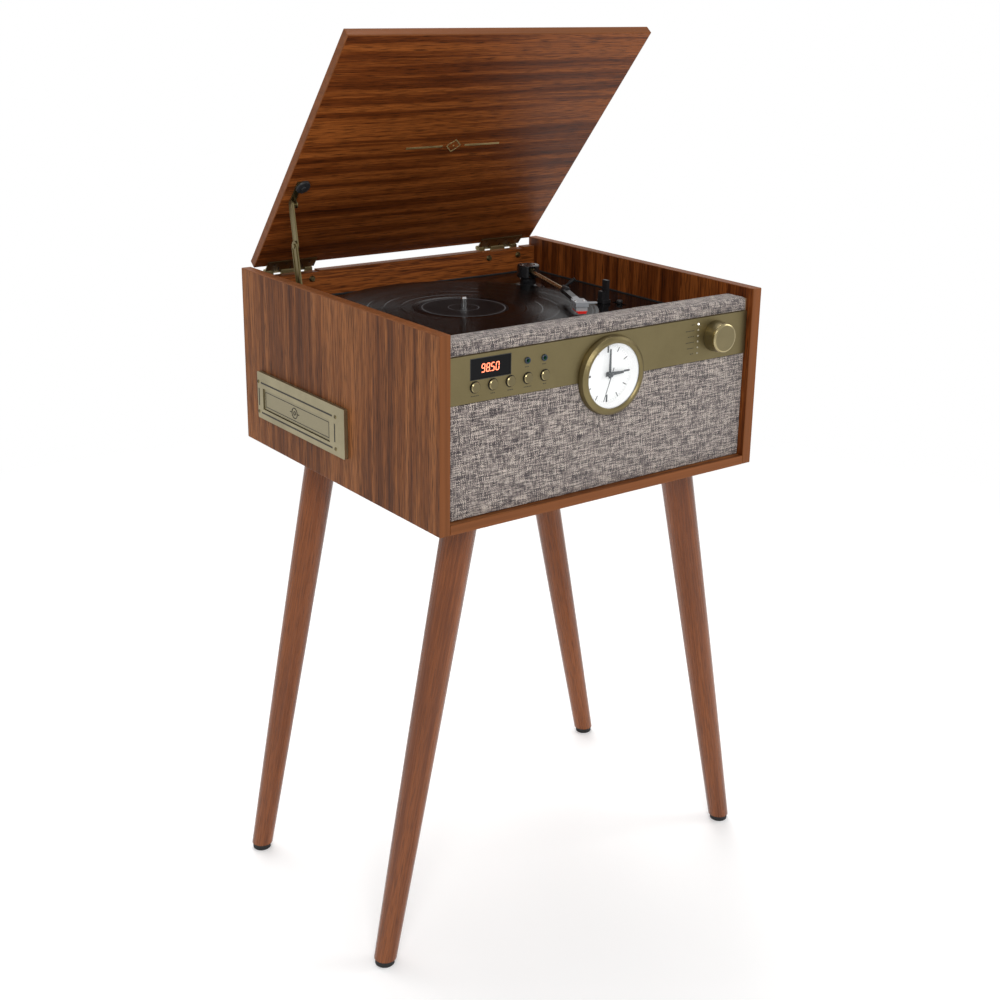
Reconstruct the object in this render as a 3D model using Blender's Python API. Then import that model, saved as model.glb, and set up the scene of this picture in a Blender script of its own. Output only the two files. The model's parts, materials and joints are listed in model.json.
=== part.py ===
# Radio phonograph console: a lidded cabinet with a turntable on four splayed legs.
# Metres, +Z up, front towards -Y, origin on the floor under the middle of the cabinet.
from math import atan2, cos, hypot, pi, radians, sin, sqrt

import bmesh
import bpy
from mathutils import Matrix, Vector

GAP = 0.0003  # between pieces that touch

# Cabinet
WIDTH, DEPTH = 0.420, 0.400
FLOOR_TO_BOX, BOX_HEIGHT = 0.494, 0.199
SIDE_THICK, BOTTOM_THICK, BACK_THICK, LID_THICK = 0.012, 0.010, 0.012, 0.010
BOX_TOP = FLOOR_TO_BOX + BOX_HEIGHT
INNER = WIDTH / 2 - SIDE_THICK
FRONT, BACK = -DEPTH / 2, DEPTH / 2
LID_REST = BOX_TOP - LID_THICK  # the closed lid's underside

# Lid and its hinge
LID_OPEN = radians(50.3)
HINGE_Y, HINGE_Z = 0.2045, 0.6845
LID_LENGTH, LID_REAR = 0.339, 0.1937
LID_SIDE_GAP = 0.0018
LEAF_CENTRE, LEAF_HALF = 0.149, 0.0315
KNUCKLE, PIN = 0.0028, 0.0012

# Front
BAFFLE_FRONT, BAFFLE_THICK = -0.1900, 0.010
FASCIA_LOW, FASCIA_HIGH, FASCIA_FRONT = 0.6210, 0.6680, -0.1925
CLOTH_THICK = 0.0014
RAIL_LOW, RAIL_BACK = 0.6690, -0.1620
BUTTON_X, BUTTON_PITCH, BUTTON_Z, BUTTON_RADIUS = -0.1648, 0.02107, 0.6360, 0.0053
JACKS = ((-0.1025, 0.6538), (-0.0816, 0.6538))
DISPLAY = (-0.1698, 0.6438, -0.1232, 0.6634)
KNOB = (0.151, 0.646)
CLOCK = (0.004, 0.624)

# Turntable
DECK_LOW, DECK_TOP, DECK_FRONT = 0.640, 0.652, -0.1590
SPINDLE = (-0.0316, 0.0175)
RECORD_RADIUS, RECORD_LOW, RECORD_TOP = 0.1505, 0.6580, 0.6600
PLATTER_RADIUS, BELT_RADIUS = 0.098, 0.060
MOTOR_DISTANCE, PULLEY_RADIUS = 0.072, 0.0040

# Tonearm
ARM = (0.118, 0.096)
ARM_LIFT_Z = 0.6745
CUE = (0.1394, 0.0526, 0.6580)
COLLAR = Vector((0.0885, -0.0100, 0.6715))
STYLUS = Vector((0.0535, -0.0840, 0.6608))

# CD drawer in the left side
TRAY_FRONT, TRAY_BACK, TRAY_LOW, TRAY_HIGH = 0.0010, 0.1490, 0.5402, 0.5634

# Legs
LEG_TOP = {"front": (0.146, -0.145), "back": (0.150, 0.128)}
LEG_FOOT = {"front": (0.249, -0.152), "back": (0.253, 0.122)}
LEG_TOP_RADIUS, LEG_FOOT_RADIUS, GLIDE_HEIGHT, GLIDE_RADIUS = 0.0185, 0.0122, 0.007, 0.0105


# ---------- tools ----------

for old in list(bpy.data.objects):
    bpy.data.objects.remove(old, do_unlink=True)


def material(name, colour, roughness=0.5, metallic=0.0):
    made = bpy.data.materials.new(name)
    made.use_nodes = True
    shader = made.node_tree.nodes["Principled BSDF"]
    shader.inputs["Base Color"].default_value = (*colour, 1.0)
    shader.inputs["Roughness"].default_value = roughness
    shader.inputs["Metallic"].default_value = metallic
    made.diffuse_color = (*colour, 1.0)
    return made


FINISH = {
    "walnut": ((0.20, 0.09, 0.04), 0.45, 0.0),
    "leg_wood": ((0.17, 0.06, 0.025), 0.4, 0.0),
    "antique_brass": ((0.24, 0.20, 0.10), 0.42, 0.9),
    "bright_brass": ((0.55, 0.42, 0.20), 0.3, 1.0),
    "steel": ((0.6, 0.6, 0.6), 0.3, 1.0),
    "tweed": ((0.42, 0.38, 0.35), 0.95, 0.0),
    "gloss_black": ((0.01, 0.01, 0.011), 0.12, 0.0),
    "matt_black": ((0.02, 0.02, 0.02), 0.6, 0.0),
    "vinyl": ((0.008, 0.008, 0.009), 0.2, 0.0),
    "white": ((0.85, 0.85, 0.83), 0.5, 0.0),
    "glass": ((0.9, 0.92, 0.92), 0.05, 0.0),
    "grey_plastic": ((0.35, 0.36, 0.37), 0.45, 0.0),
    "red_plastic": ((0.75, 0.03, 0.02), 0.35, 0.0),
    "board": ((0.05, 0.16, 0.08), 0.6, 0.0),
    "fibreboard": ((0.30, 0.22, 0.14), 0.85, 0.0),
    "rubber": ((0.015, 0.015, 0.015), 0.8, 0.0),
}


def place(name, bm, finish, origin=(0, 0, 0), turn=0.0, sharp=35):
    """Makes the object of a mesh drawn in world coordinates, with its origin on the given point."""
    bmesh.ops.translate(bm, verts=bm.verts, vec=-Vector(origin))
    bmesh.ops.recalc_face_normals(bm, faces=bm.faces)
    mesh = bpy.data.meshes.new(name)
    bm.to_mesh(mesh)
    bm.free()
    mesh.shade_smooth()
    mesh.set_sharp_from_angle(angle=radians(sharp))
    made = bpy.data.objects.new(name, mesh)
    made.location = origin
    made.rotation_euler.x = turn
    mesh.materials.append(material(name, *FINISH[finish]))
    bpy.context.collection.objects.link(made)
    return made


def box(bm, low, high):
    low, high = Vector(low), Vector(high)
    frame = Matrix.Translation((low + high) / 2) @ Matrix.Diagonal((*(high - low), 1))
    return bmesh.ops.create_cube(bm, size=1, matrix=frame)["verts"]


def rod(bm, start, end, radius, end_radius=None, segments=32):
    start, end = Vector(start), Vector(end)
    along = end - start
    frame = Matrix.Translation((start + end) / 2) @ along.to_track_quat("Z", "Y").to_matrix().to_4x4()
    return bmesh.ops.create_cone(
        bm, cap_ends=True, segments=segments, radius1=radius, depth=along.length,
        radius2=radius if end_radius is None else end_radius, matrix=frame,
    )["verts"]


def turned(bm, profile, centre=(0, 0, 0), axis="Z", segments=48):
    """Spins a closed outline of (radius, height) points about an axis through the centre.
    A point at radius 0 closes the shape on the axis."""
    rings = []
    for step in range(segments):
        angle = 2 * pi * step / segments
        rings.append([bm.verts.new((r * cos(angle), r * sin(angle), h)) if r else None for r, h in profile])
    poles = {i: bm.verts.new((0, 0, h)) for i, (r, h) in enumerate(profile) if not r}
    count, made = len(profile), list(poles.values())
    for step, ring in enumerate(rings):
        after = rings[(step + 1) % segments]
        made += [v for v in ring if v]
        for i in range(count):
            j = (i + 1) % count
            corners = [ring[i] or poles[i], after[i] or poles[i], after[j] or poles[j], ring[j] or poles[j]]
            face = list(dict.fromkeys(corners))
            if len(face) > 2:
                bm.faces.new(face)
    turn = {"Z": Matrix(), "Y": Matrix.Rotation(pi / 2, 4, "X"), "X": Matrix.Rotation(pi / 2, 4, "Y")}[axis]
    bmesh.ops.transform(bm, matrix=Matrix.Translation(centre) @ turn, verts=made)
    return made


def slab(bm, outline, low, high, axis="Z"):
    """Extrudes a flat outline: along Z from (x, y), along Y from (x, z), along X from (y, z)."""
    orders = {"Z": (0, 1, 2), "Y": (0, 2, 1), "X": (2, 0, 1)}

    def put(*values):
        return tuple(values[index] for index in orders[axis])

    face = bm.faces.new([bm.verts.new(put(a, b, low)) for a, b in outline])
    grown = bmesh.ops.extrude_face_region(bm, geom=[face])["geom"]
    new = [v for v in grown if isinstance(v, bmesh.types.BMVert)]
    bmesh.ops.translate(bm, verts=new, vec=Vector(put(0, 0, high - low)))
    return list(face.verts) + new


def rounded(low_a, low_b, high_a, high_b, radius, steps=4):
    """A rectangle's outline with round corners."""
    points = []
    corners = ((high_a, high_b, 0), (low_a, high_b, 1), (low_a, low_b, 2), (high_a, low_b, 3))
    for a, b, quarter in corners:
        inward = (radius if quarter in (1, 2) else -radius, radius if quarter > 1 else -radius)
        for step in range(steps + 1):
            angle = pi / 2 * (quarter + step / steps)
            points.append((a + inward[0] + radius * cos(angle), b + inward[1] + radius * sin(angle)))
    return points


def capsule(start, end, radius, steps=8):
    """The outline round two points at one distance, as of a link."""
    heading = atan2(end[1] - start[1], end[0] - start[0])
    points = []
    for centre, first in ((start, heading + pi / 2), (end, heading - pi / 2)):
        for step in range(steps + 1):
            angle = first + pi * step / steps
            points.append((centre[0] + radius * cos(angle), centre[1] + radius * sin(angle)))
    return points


def chamfer(bm, width, segments=2):
    sharp = [e for e in bm.edges if len(e.link_faces) == 2 and e.calc_face_angle(0) > radians(40)]
    bmesh.ops.bevel(
        bm, geom=sharp, offset=width, segments=segments, affect="EDGES", profile=0.5, material=-1)


def tool(name, bm):
    """A hidden solid that cuts into, or is joined onto, another."""
    bmesh.ops.recalc_face_normals(bm, faces=bm.faces)
    mesh = bpy.data.meshes.new(name)
    bm.to_mesh(mesh)
    bm.free()
    made = bpy.data.objects.new(name, mesh)
    made.hide_render = True
    made.display_type = "WIRE"
    bpy.context.collection.objects.link(made)
    return made


def combine(target, operation, *shapes):
    """Cuts each shape from the target, or joins it on. A shape is a function that draws into a bmesh."""
    for number, draw in enumerate(shapes):
        bm = bmesh.new()
        draw(bm)
        bmesh.ops.translate(bm, verts=bm.verts, vec=-target.location)
        helper = tool(f"{target.name}_{operation.lower()}_{number}", bm)
        helper.parent = target
        change = target.modifiers.new(f"{operation.lower()}_{number}", "BOOLEAN")
        change.operation = operation
        change.solver = "EXACT"
        change.object = helper


def cut(target, *shapes):
    combine(target, "DIFFERENCE", *shapes)


def join(target, *shapes):
    combine(target, "UNION", *shapes)


# ---------- cabinet ----------

def side_panels():
    for name, side in (("side_panel_left", -1), ("side_panel_right", 1)):
        bm = bmesh.new()
        inner, outer = sorted((side * INNER, side * WIDTH / 2))
        box(bm, (inner, FRONT, FLOOR_TO_BOX), (outer, BACK, BOX_TOP))
        chamfer(bm, 0.0008)
        panel = place(name, bm, "walnut")
        if side < 0:
            slot = 0.002
            cut(panel, lambda b: box(
                b, (-WIDTH, TRAY_FRONT - slot, TRAY_LOW - slot), (0, TRAY_BACK + slot, TRAY_HIGH + slot)))


def bottom_panel():
    bm = bmesh.new()
    width = INNER - GAP
    box(bm, (-width, FRONT, FLOOR_TO_BOX), (width, BACK, FLOOR_TO_BOX + BOTTOM_THICK))
    chamfer(bm, 0.0006)
    panel = place("bottom_panel", bm, "walnut")

    def bolt_holes(b):
        for x, y in leg_tops():
            rod(b, (x, y, FLOOR_TO_BOX - 0.01), (x, y, FLOOR_TO_BOX + 0.008), 0.0045, segments=16)

    cut(panel, bolt_holes)


def back_panel():
    bm = bmesh.new()
    width, low = INNER - GAP, FLOOR_TO_BOX + BOTTOM_THICK + GAP
    box(bm, (-width, BACK - BACK_THICK, low), (width, BACK, LID_REST - GAP))
    panel = place("back_panel", bm, "walnut")

    def hinge_notches(b):
        for side in (-1, 1):
            x = side * LEAF_CENTRE
            box(b, (x - LEAF_HALF - 0.001, 0.18, 0.6810), (x + LEAF_HALF + 0.001, 0.21, 0.69))
            for bolt in (-1, 1):
                bx = x + bolt * 0.0226
                rod(b, (bx, 0.18, 0.6735), (bx, 0.21, 0.6735), 0.0022, segments=16)

    cut(panel, hinge_notches, lambda b: box(b, (-0.050, 0.18, 0.530), (0.050, 0.21, 0.590)))


def deck_board():
    bm = bmesh.new()
    width = INNER - GAP
    box(bm, (-width, DECK_FRONT, DECK_LOW), (width, BACK - BACK_THICK - GAP, DECK_TOP))
    deck = place("deck_board", bm, "gloss_black")
    x, y = SPINDLE
    well = [(0, 0.6455), (PLATTER_RADIUS + 0.003, 0.6455), (PLATTER_RADIUS + 0.003, 0.66), (0, 0.66)]
    bearing = [(0.0042, 0.628), (0.0090, 0.628), (0.0090, 0.6410), (0.0042, 0.6410)]

    def holes(b):
        rod(b, (x, y, 0.63), (x, y, 0.65), 0.0042, segments=24)
        rod(b, (x, y + MOTOR_DISTANCE, 0.63), (x, y + MOTOR_DISTANCE, 0.65), 0.0060, segments=24)
        box(b, (0.1500, -0.0450, 0.63), (0.1554, -0.0220, 0.66))
        rod(b, (*ARM, 0.63), (*ARM, 0.66), 0.0062, segments=24)

    cut(deck, lambda b: turned(b, well, (x, y, 0), segments=64), holes)
    join(deck, lambda b: turned(b, bearing, (x, y, 0), segments=24))


def clock_hole(b):
    rod(b, (CLOCK[0], -0.25, CLOCK[1]), (CLOCK[0], -0.17, CLOCK[1]), 0.0362, segments=48)


def baffle_board():
    bm = bmesh.new()
    width, low = INNER - GAP, FLOOR_TO_BOX + BOTTOM_THICK + GAP
    back = BAFFLE_FRONT + BAFFLE_THICK
    rail_top, rail_back = LID_REST - CLOTH_THICK - 2 * GAP, RAIL_BACK - CLOTH_THICK - 2 * GAP
    step = [(BAFFLE_FRONT, low), (back, low), (back, RAIL_LOW), (rail_back, RAIL_LOW),
            (rail_back, rail_top), (BAFFLE_FRONT, rail_top)]
    slab(bm, step, -width, width, axis="X")
    board = place("baffle_board", bm, "fibreboard")

    def windows(b):
        for side in (-1, 1):
            rod(b, (side * 0.115, -0.21, 0.556), (side * 0.115, -0.17, 0.556), 0.0340, segments=40)
        box(b, (-0.1760, -0.21, 0.6270), (-0.0700, -0.17, 0.6660))
        rod(b, (KNOB[0], -0.21, KNOB[1]), (KNOB[0], -0.17, KNOB[1]), 0.0060, segments=24)

    cut(board, clock_hole, windows)


def coverings():
    """The woven covering: a flat piece on the baffle and one folded round the rail on top of it."""
    front = BAFFLE_FRONT - GAP
    bm = bmesh.new()
    width = INNER - 2 * GAP
    low = FLOOR_TO_BOX + BOTTOM_THICK + 2 * GAP
    box(bm, (-width, front - CLOTH_THICK, low), (width, front, FASCIA_LOW - GAP))
    cloth = place("grille_cloth", bm, "tweed")
    cut(cloth, clock_hole)
    bm = bmesh.new()
    top, back, bottom = LID_REST - GAP, RAIL_BACK, RAIL_LOW
    outer = [(front - CLOTH_THICK, bottom), (front - CLOTH_THICK, top), (back, top), (back, bottom)]
    inner = [(back - CLOTH_THICK, bottom), (back - CLOTH_THICK, top - CLOTH_THICK),
             (front, top - CLOTH_THICK), (front, bottom)]
    slab(bm, outer + inner, -width, width, axis="X")
    place("rail_cloth", bm, "tweed")


# ---------- control strip ----------

def control_fascia():
    bm = bmesh.new()
    width = INNER - 2 * GAP
    outline = rounded(-width, FASCIA_LOW, width, FASCIA_HIGH, 0.0006, 1)
    slab(bm, outline, FASCIA_FRONT, BAFFLE_FRONT - GAP, axis="Y")
    fascia = place("control_fascia", bm, "antique_brass")

    def openings(b):
        x0, z0, x1, z1 = DISPLAY
        box(b, (x0 - GAP, -0.2, z0 - GAP), (x1 + GAP, -0.18, z1 + GAP))
        for i in range(5):
            x = BUTTON_X + i * BUTTON_PITCH
            rod(b, (x, -0.2, BUTTON_Z), (x, -0.18, BUTTON_Z), BUTTON_RADIUS + GAP)
        for x, z in JACKS:
            rod(b, (x, -0.2, z), (x, -0.18, z), 0.0032 + GAP, segments=24)
        rod(b, (KNOB[0], -0.2, KNOB[1]), (KNOB[0], -0.18, KNOB[1]), 0.0034, segments=24)

    cut(fascia, clock_hole, openings)


def display_window():
    x0, z0, x1, z1 = DISPLAY
    bm = bmesh.new()
    slab(bm, rounded(x0, z0, x1, z1, 0.0006, 2), FASCIA_FRONT + 0.0004, -0.1880, axis="Y")
    place("display_window", bm, "gloss_black")


def buttons():
    cap = [(0, 0.0025), (BUTTON_RADIUS - 0.0008, 0.0025), (BUTTON_RADIUS, 0.0017), (BUTTON_RADIUS, -0.0070),
           (0, -0.0070)]
    for i in range(5):
        centre = (BUTTON_X + i * BUTTON_PITCH, FASCIA_FRONT, BUTTON_Z)
        bm = bmesh.new()
        turned(bm, cap, centre, axis="Y", segments=24)
        place(f"button_{i + 1}", bm, "antique_brass", centre)


def control_board():
    bm = bmesh.new()
    box(bm, (-0.1745, -0.1815, 0.6285), (-0.0715, -0.1799, 0.6645))
    board = place("control_board", bm, "board")
    jack = [(0.0018, 0.0125), (0.0030, 0.0125), (0.0032, 0.0121), (0.0032, 0.0), (0, 0.0), (0, 0.0015),
            (0.0018, 0.0015)]

    def switches(b):
        for i in range(5):
            x = BUTTON_X + i * BUTTON_PITCH
            box(b, (x - 0.003, -0.1835, BUTTON_Z - 0.003), (x + 0.003, -0.1810, BUTTON_Z + 0.003))
        for x, z in JACKS:
            turned(b, jack, (x, -0.1810, z), axis="Y", segments=24)

    join(board, switches)


def selector_knob():
    x, z = KNOB
    body = [(0, 0.0155), (0.0140, 0.0155), (0.0153, 0.0150), (0.0160, 0.0140), (0.0168, 0.0012), (0.0168, 0.0),
            (0.0030, 0.0), (0.0030, -0.0110), (0, -0.0110)]
    bm = bmesh.new()
    centre = (x, FASCIA_FRONT - GAP, z)
    turned(bm, body, centre, axis="Y", segments=56)
    place("selector_knob", bm, "antique_brass", centre)


# ---------- clock ----------

def clock():
    x, z = CLOCK
    ring = [(0.0420, 0.0), (0.0420, 0.0017), (0.0408, 0.0057), (0.0378, 0.0080), (0.0354, 0.0080),
            (0.0340, 0.0068), (0.0340, 0.0065), (0.0348, 0.0065), (0.0348, -0.0148), (0.0357, -0.0148),
            (0.0357, 0.0)]
    bm = bmesh.new()
    turned(bm, ring, (x, FASCIA_FRONT - GAP, z), axis="Y", segments=60)
    place("clock_bezel", bm, "antique_brass")
    bm = bmesh.new()
    turned(bm, [(0, 0), (0.0345, 0), (0.0345, 0.0011), (0, 0.0011)], (x, -0.1979, z), axis="Y", segments=64)
    place("clock_glass", bm, "glass")
    bm = bmesh.new()
    disc = [(0.0021, 0), (0.0344, 0), (0.0344, 0.0010), (0.0021, 0.0010)]
    turned(bm, disc, (x, -0.1875, z), axis="Y", segments=64)
    place("clock_dial", bm, "white")
    bm = bmesh.new()
    slab(bm, rounded(x - 0.024, z - 0.024, x + 0.024, z + 0.024, 0.004), -0.1872, -0.1700, axis="Y")
    movement = place("clock_movement", bm, "matt_black")
    join(movement, lambda b: rod(b, (x, -0.180, z), (x, -0.1946, z), 0.0011, segments=20))
    hand("hour_hand", -0.1908, 0.0028, 0.0200, 0.0021, 90)
    hand("minute_hand", -0.1924, 0.0024, 0.0268, 0.0016, 0)
    hand("second_hand", -0.1952, 0.0018, 0.0285, 0.0004, 200, solid=True)


def hand(name, y, hub, length, half, degrees, solid=False):
    """A clock hand that points at the given clockwise angle from the top, on its arbor's axis."""
    x, z = CLOCK
    bore = 0 if solid else 0.0014
    centre = (x, y, z)
    bm = bmesh.new()
    turned(bm, [(bore, 0), (hub, 0), (hub, 0.0005), (bore, 0.0005)], centre, axis="Y", segments=24)
    made = place(name, bm, "matt_black", centre)
    tail = -0.008 if solid else -0.004
    outline = [(half, hub * 0.7), (half * 0.6, length), (-half * 0.6, length), (-half, hub * 0.7)]
    back = [(half, -hub * 0.7), (-half, -hub * 0.7), (-half, tail), (half, tail)]

    def blades(b):
        for shape in (outline, back):
            turned_shape = []
            for across, along in shape:
                a = radians(degrees)
                turned_x = x + along * sin(a) + across * cos(a)
                turned_z = z + along * cos(a) - across * sin(a)
                turned_shape.append((turned_x, turned_z))
            slab(b, turned_shape, y - 0.00045, y - 0.00005, axis="Y")

    join(made, blades)


# ---------- turntable ----------

def turntable():
    x, y = SPINDLE
    r, rim = PLATTER_RADIUS, BELT_RADIUS
    dish = [(0, 0.6720), (0.0022, 0.6720), (0.0035, 0.6700), (0.0035, 0.6577), (r - 0.001, 0.6577), (r, 0.6567),
            (r, 0.6465), (r - 0.003, 0.6465), (r - 0.003, 0.6545), (rim, 0.6545), (rim, 0.6465),
            (rim - 0.003, 0.6465), (rim - 0.003, 0.6545), (0.0080, 0.6545), (0.0080, 0.6465), (0.0038, 0.6465),
            (0.0038, 0.6300), (0, 0.6300)]
    bm = bmesh.new()
    turned(bm, dish, (x, y, 0), segments=56)
    place("platter", bm, "matt_black", (x, y, 0.6500))
    edge = (RECORD_TOP - RECORD_LOW) / 2
    disc = [(0.0038, RECORD_LOW), (RECORD_RADIUS - 0.0006, RECORD_LOW), (RECORD_RADIUS, RECORD_LOW + edge * 0.5),
            (RECORD_RADIUS, RECORD_TOP - edge * 0.5), (RECORD_RADIUS - 0.0006, RECORD_TOP), (0.0038, RECORD_TOP)]
    bm = bmesh.new()
    turned(bm, disc, (x, y, 0), segments=96)
    place("record", bm, "vinyl", (x, y, RECORD_LOW))
    my = y + MOTOR_DISTANCE
    bm = bmesh.new()
    turned(bm, [(0, 0.612), (0.0130, 0.612), (0.0130, 0.6397), (0, 0.6397)], (x, my, 0), segments=32)
    motor = place("motor", bm, "steel")
    cut(motor, lambda b: rod(b, (x, my, 0.630), (x, my, 0.65), 0.0016, segments=16))
    p = PULLEY_RADIUS
    bm = bmesh.new()
    turned(bm, [(0, 0.6320), (0.0012, 0.6320), (0.0012, 0.6460), (p + 0.0008, 0.6460), (p + 0.0008, 0.6468),
                (p, 0.6472), (p, 0.6518), (p + 0.0008, 0.6522), (p + 0.0008, 0.6530), (0, 0.6530)],
           (x, my, 0), segments=24)
    place("motor_pulley", bm, "bright_brass", (x, my, 0.6500))
    drive_belt(x, y)


def belt_outline(x, y, large, small, steps=28):
    """The tight loop round two circles, the smaller one further back."""
    lean = atan2(sqrt(MOTOR_DISTANCE**2 - (large - small) ** 2), large - small)
    points = []
    for i in range(steps * 2 + 1):
        angle = pi / 2 + lean + (2 * pi - 2 * lean) * i / (steps * 2)
        points.append((x + large * cos(angle), y + large * sin(angle)))
    for i in range(steps // 2 + 1):
        angle = pi / 2 - lean + 2 * lean * i / (steps // 2)
        points.append((x + small * cos(angle), y + MOTOR_DISTANCE + small * sin(angle)))
    return points


def drive_belt(x, y):
    inner = belt_outline(x, y, BELT_RADIUS + GAP, PULLEY_RADIUS + GAP)
    outer = belt_outline(x, y, BELT_RADIUS + GAP + 0.0008, PULLEY_RADIUS + GAP + 0.0008)
    bm = bmesh.new()
    rings = [[bm.verts.new((a, b, h)) for a, b in ring] for h in (0.6476, 0.6514) for ring in (inner, outer)]
    count = len(inner)
    for i in range(count):
        j = (i + 1) % count
        for a, b in ((0, 1), (1, 3), (3, 2), (2, 0)):
            bm.faces.new((rings[a][i], rings[a][j], rings[b][j], rings[b][i]))
    place("drive_belt", bm, "rubber")


# ---------- tonearm ----------

def tonearm():
    x, y = ARM
    foot = [(0, 0.6420), (0.0055, 0.6420), (0.0055, 0.6523), (0.0190, 0.6523), (0.0190, 0.6545), (0.0178, 0.6560),
            (0.0118, 0.6560), (0.0095, 0.6575), (0.0095, 0.6640), (0, 0.6640)]
    bm = bmesh.new()
    turned(bm, foot, (x, y, 0), segments=40)
    base = place("tonearm_base", bm, "gloss_black")
    cx, cy, cz = CUE
    join(
        base,
        lambda b: slab(b, capsule((x, y), (cx, cy), 0.0062), 0.6523, 0.6540),
        lambda b: [box(b, (cx + ear - 0.0008, cy - 0.0028, 0.6535), (cx + ear + 0.0008, cy + 0.0028, cz + 0.0026))
                   for ear in (-0.0042, 0.0042)],
        lambda b: rod(b, (cx - 0.0048, cy, cz), (cx + 0.0048, cy, cz), 0.0012, segments=16),
    )
    bm = bmesh.new()
    drum = [(0, 0.6643), (0.0085, 0.6643), (0.0085, 0.6660), (0.0130, 0.6660), (0.0135, 0.6670), (0.0135, 0.6795),
            (0.0128, 0.6805), (0, 0.6805)]
    turned(bm, drum, (x, y, 0), segments=40)
    yoke = place("tonearm_yoke", bm, "gloss_black", (x, y, ARM_LIFT_Z))
    ahead = (COLLAR - Vector((x, y, ARM_LIFT_Z))).normalized()
    across = Vector((-ahead.y, ahead.x, 0)).normalized()
    root = Vector((x, y, ARM_LIFT_Z))

    def fork(b):
        """Room for the tube's gimbal block to rise in."""
        verts = box(b, (-0.0042, -0.004, -0.0058), (0.0042, 0.02, 0.02))
        turn = Matrix((across, ahead, across.cross(ahead))).transposed().to_4x4()
        bmesh.ops.transform(b, matrix=Matrix.Translation(root) @ turn, verts=verts)

    cut(yoke, fork)
    bm = bmesh.new()
    rod(bm, root + ahead * 0.0035, COLLAR, 0.0022, segments=24)
    tube = place("tonearm_tube", bm, "bright_brass", root)
    join(tube, lambda b: rod(b, root - across * 0.0036, root + across * 0.0036, 0.0036, segments=20))
    head(root, ahead)


def head(root, ahead):
    """Headshell with its collar and finger lift, then the cartridge with the red stylus holder."""
    flat = Vector((STYLUS.x - COLLAR.x, STYLUS.y - COLLAR.y, 0)).normalized()
    side = Vector((flat.y, -flat.x, 0))
    turn = Matrix((side, flat, Vector((0, 0, 1)))).transposed().to_4x4()
    start = COLLAR + ahead * GAP

    def put(b, low, high):
        verts = box(b, low, high)
        bmesh.ops.transform(b, matrix=Matrix.Translation(start) @ turn, verts=verts)

    reach = hypot(STYLUS.x - start.x, STYLUS.y - start.y)
    bm = bmesh.new()
    rod(bm, start, start + ahead * 0.0100, 0.0036, segments=24)
    shell = place("headshell", bm, "grey_plastic", root)
    join(
        shell,
        lambda b: put(b, (-0.0036, 0.006, -0.0024), (0.0036, reach - 0.016, 0.0020)),
        lambda b: put(b, (-0.0072, reach - 0.0200, -0.0020), (0.0072, reach + 0.0040, 0.0026)),
        lambda b: put(b, (-0.0190, reach - 0.0090, -0.0002), (-0.0060, reach - 0.0040, 0.0010)),
    )
    bm = bmesh.new()
    put(bm, (-0.0062, reach - 0.0150, -0.0078), (0.0062, reach + 0.0030, -0.0020 - GAP))
    cartridge = place("cartridge", bm, "red_plastic", root)
    tip = STYLUS.z - start.z
    join(
        cartridge,
        lambda b: put(b, (-0.0046, reach - 0.0080, -0.0092), (0.0046, reach + 0.0050, -0.0070)),
        lambda b: put(b, (-0.0006, reach - 0.0006, tip), (0.0006, reach + 0.0008, -0.0086)),
    )


def arm_rest():
    x, y = 0.1385, -0.0200
    bm = bmesh.new()
    slab(bm, rounded(x - 0.0045, y - 0.0060, x + 0.0080, y + 0.0060, 0.002), DECK_TOP + GAP, 0.6560)
    rest = place("arm_rest", bm, "matt_black")
    join(
        rest,
        lambda b: box(b, (x + 0.0018, y - 0.0040, 0.6550), (x + 0.0062, y + 0.0040, 0.6786)),
        lambda b: box(b, (x - 0.0044, y - 0.0035, 0.6550), (x + 0.0030, y + 0.0035, 0.6662)),
    )


def levers():
    x, y, z = CUE
    barrel = [(0.0013, -0.0030), (0.0028, -0.0030), (0.0028, 0.0030), (0.0013, 0.0030)]
    bm = bmesh.new()
    turned(bm, barrel, CUE, axis="X", segments=24)
    cue = place("cue_lever", bm, "matt_black", CUE)
    join(
        cue,
        lambda b: rod(b, (x, y - 0.0018, z + 0.0018), (x + 0.0050, y - 0.0060, z + 0.0070), 0.0014, segments=16),
        lambda b: rod(b, (x + 0.0040, y - 0.0050, z + 0.0058), (x + 0.0085, y - 0.0095, z + 0.0112), 0.0024,
                      0.0020, segments=16),
    )
    x, y = 0.1527, -0.0335
    bm = bmesh.new()
    box(bm, (x - 0.0060, y - 0.0080, 0.6350), (x + 0.0060, y + 0.0080, 0.6390))
    lever = place("speed_lever", bm, "matt_black", (x, y, 0.6390))
    join(lever, lambda b: rod(b, (x, y, 0.638), (x, y, 0.6560), 0.0024, 0.0020, segments=16))


# ---------- lid, hinges and stay ----------

def lid_frame():
    """An open lid's objects are drawn closed and turned about the hinge pin."""
    return {"origin": (0, HINGE_Y, HINGE_Z), "turn": -LID_OPEN}


def lid_panel():
    bm = bmesh.new()
    width = INNER - LID_SIDE_GAP
    box(bm, (-width, LID_REAR - LID_LENGTH, LID_REST), (width, LID_REAR, BOX_TOP))
    chamfer(bm, 0.0008)
    place("lid_panel", bm, "walnut", **lid_frame())


def knuckles(bm, centre, spans):
    for low, high in spans:
        ring = [(PIN + GAP, low), (KNUCKLE, low), (KNUCKLE, high), (PIN + GAP, high)]
        turned(bm, ring, (centre, HINGE_Y, HINGE_Z), axis="X", segments=20)


LID_SPANS = ((-0.0200, -0.0110), (0.0110, 0.0200))
BACK_SPANS = ((-0.0300, -0.0204), (-0.0106, 0.0106), (0.0204, 0.0300))


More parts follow.
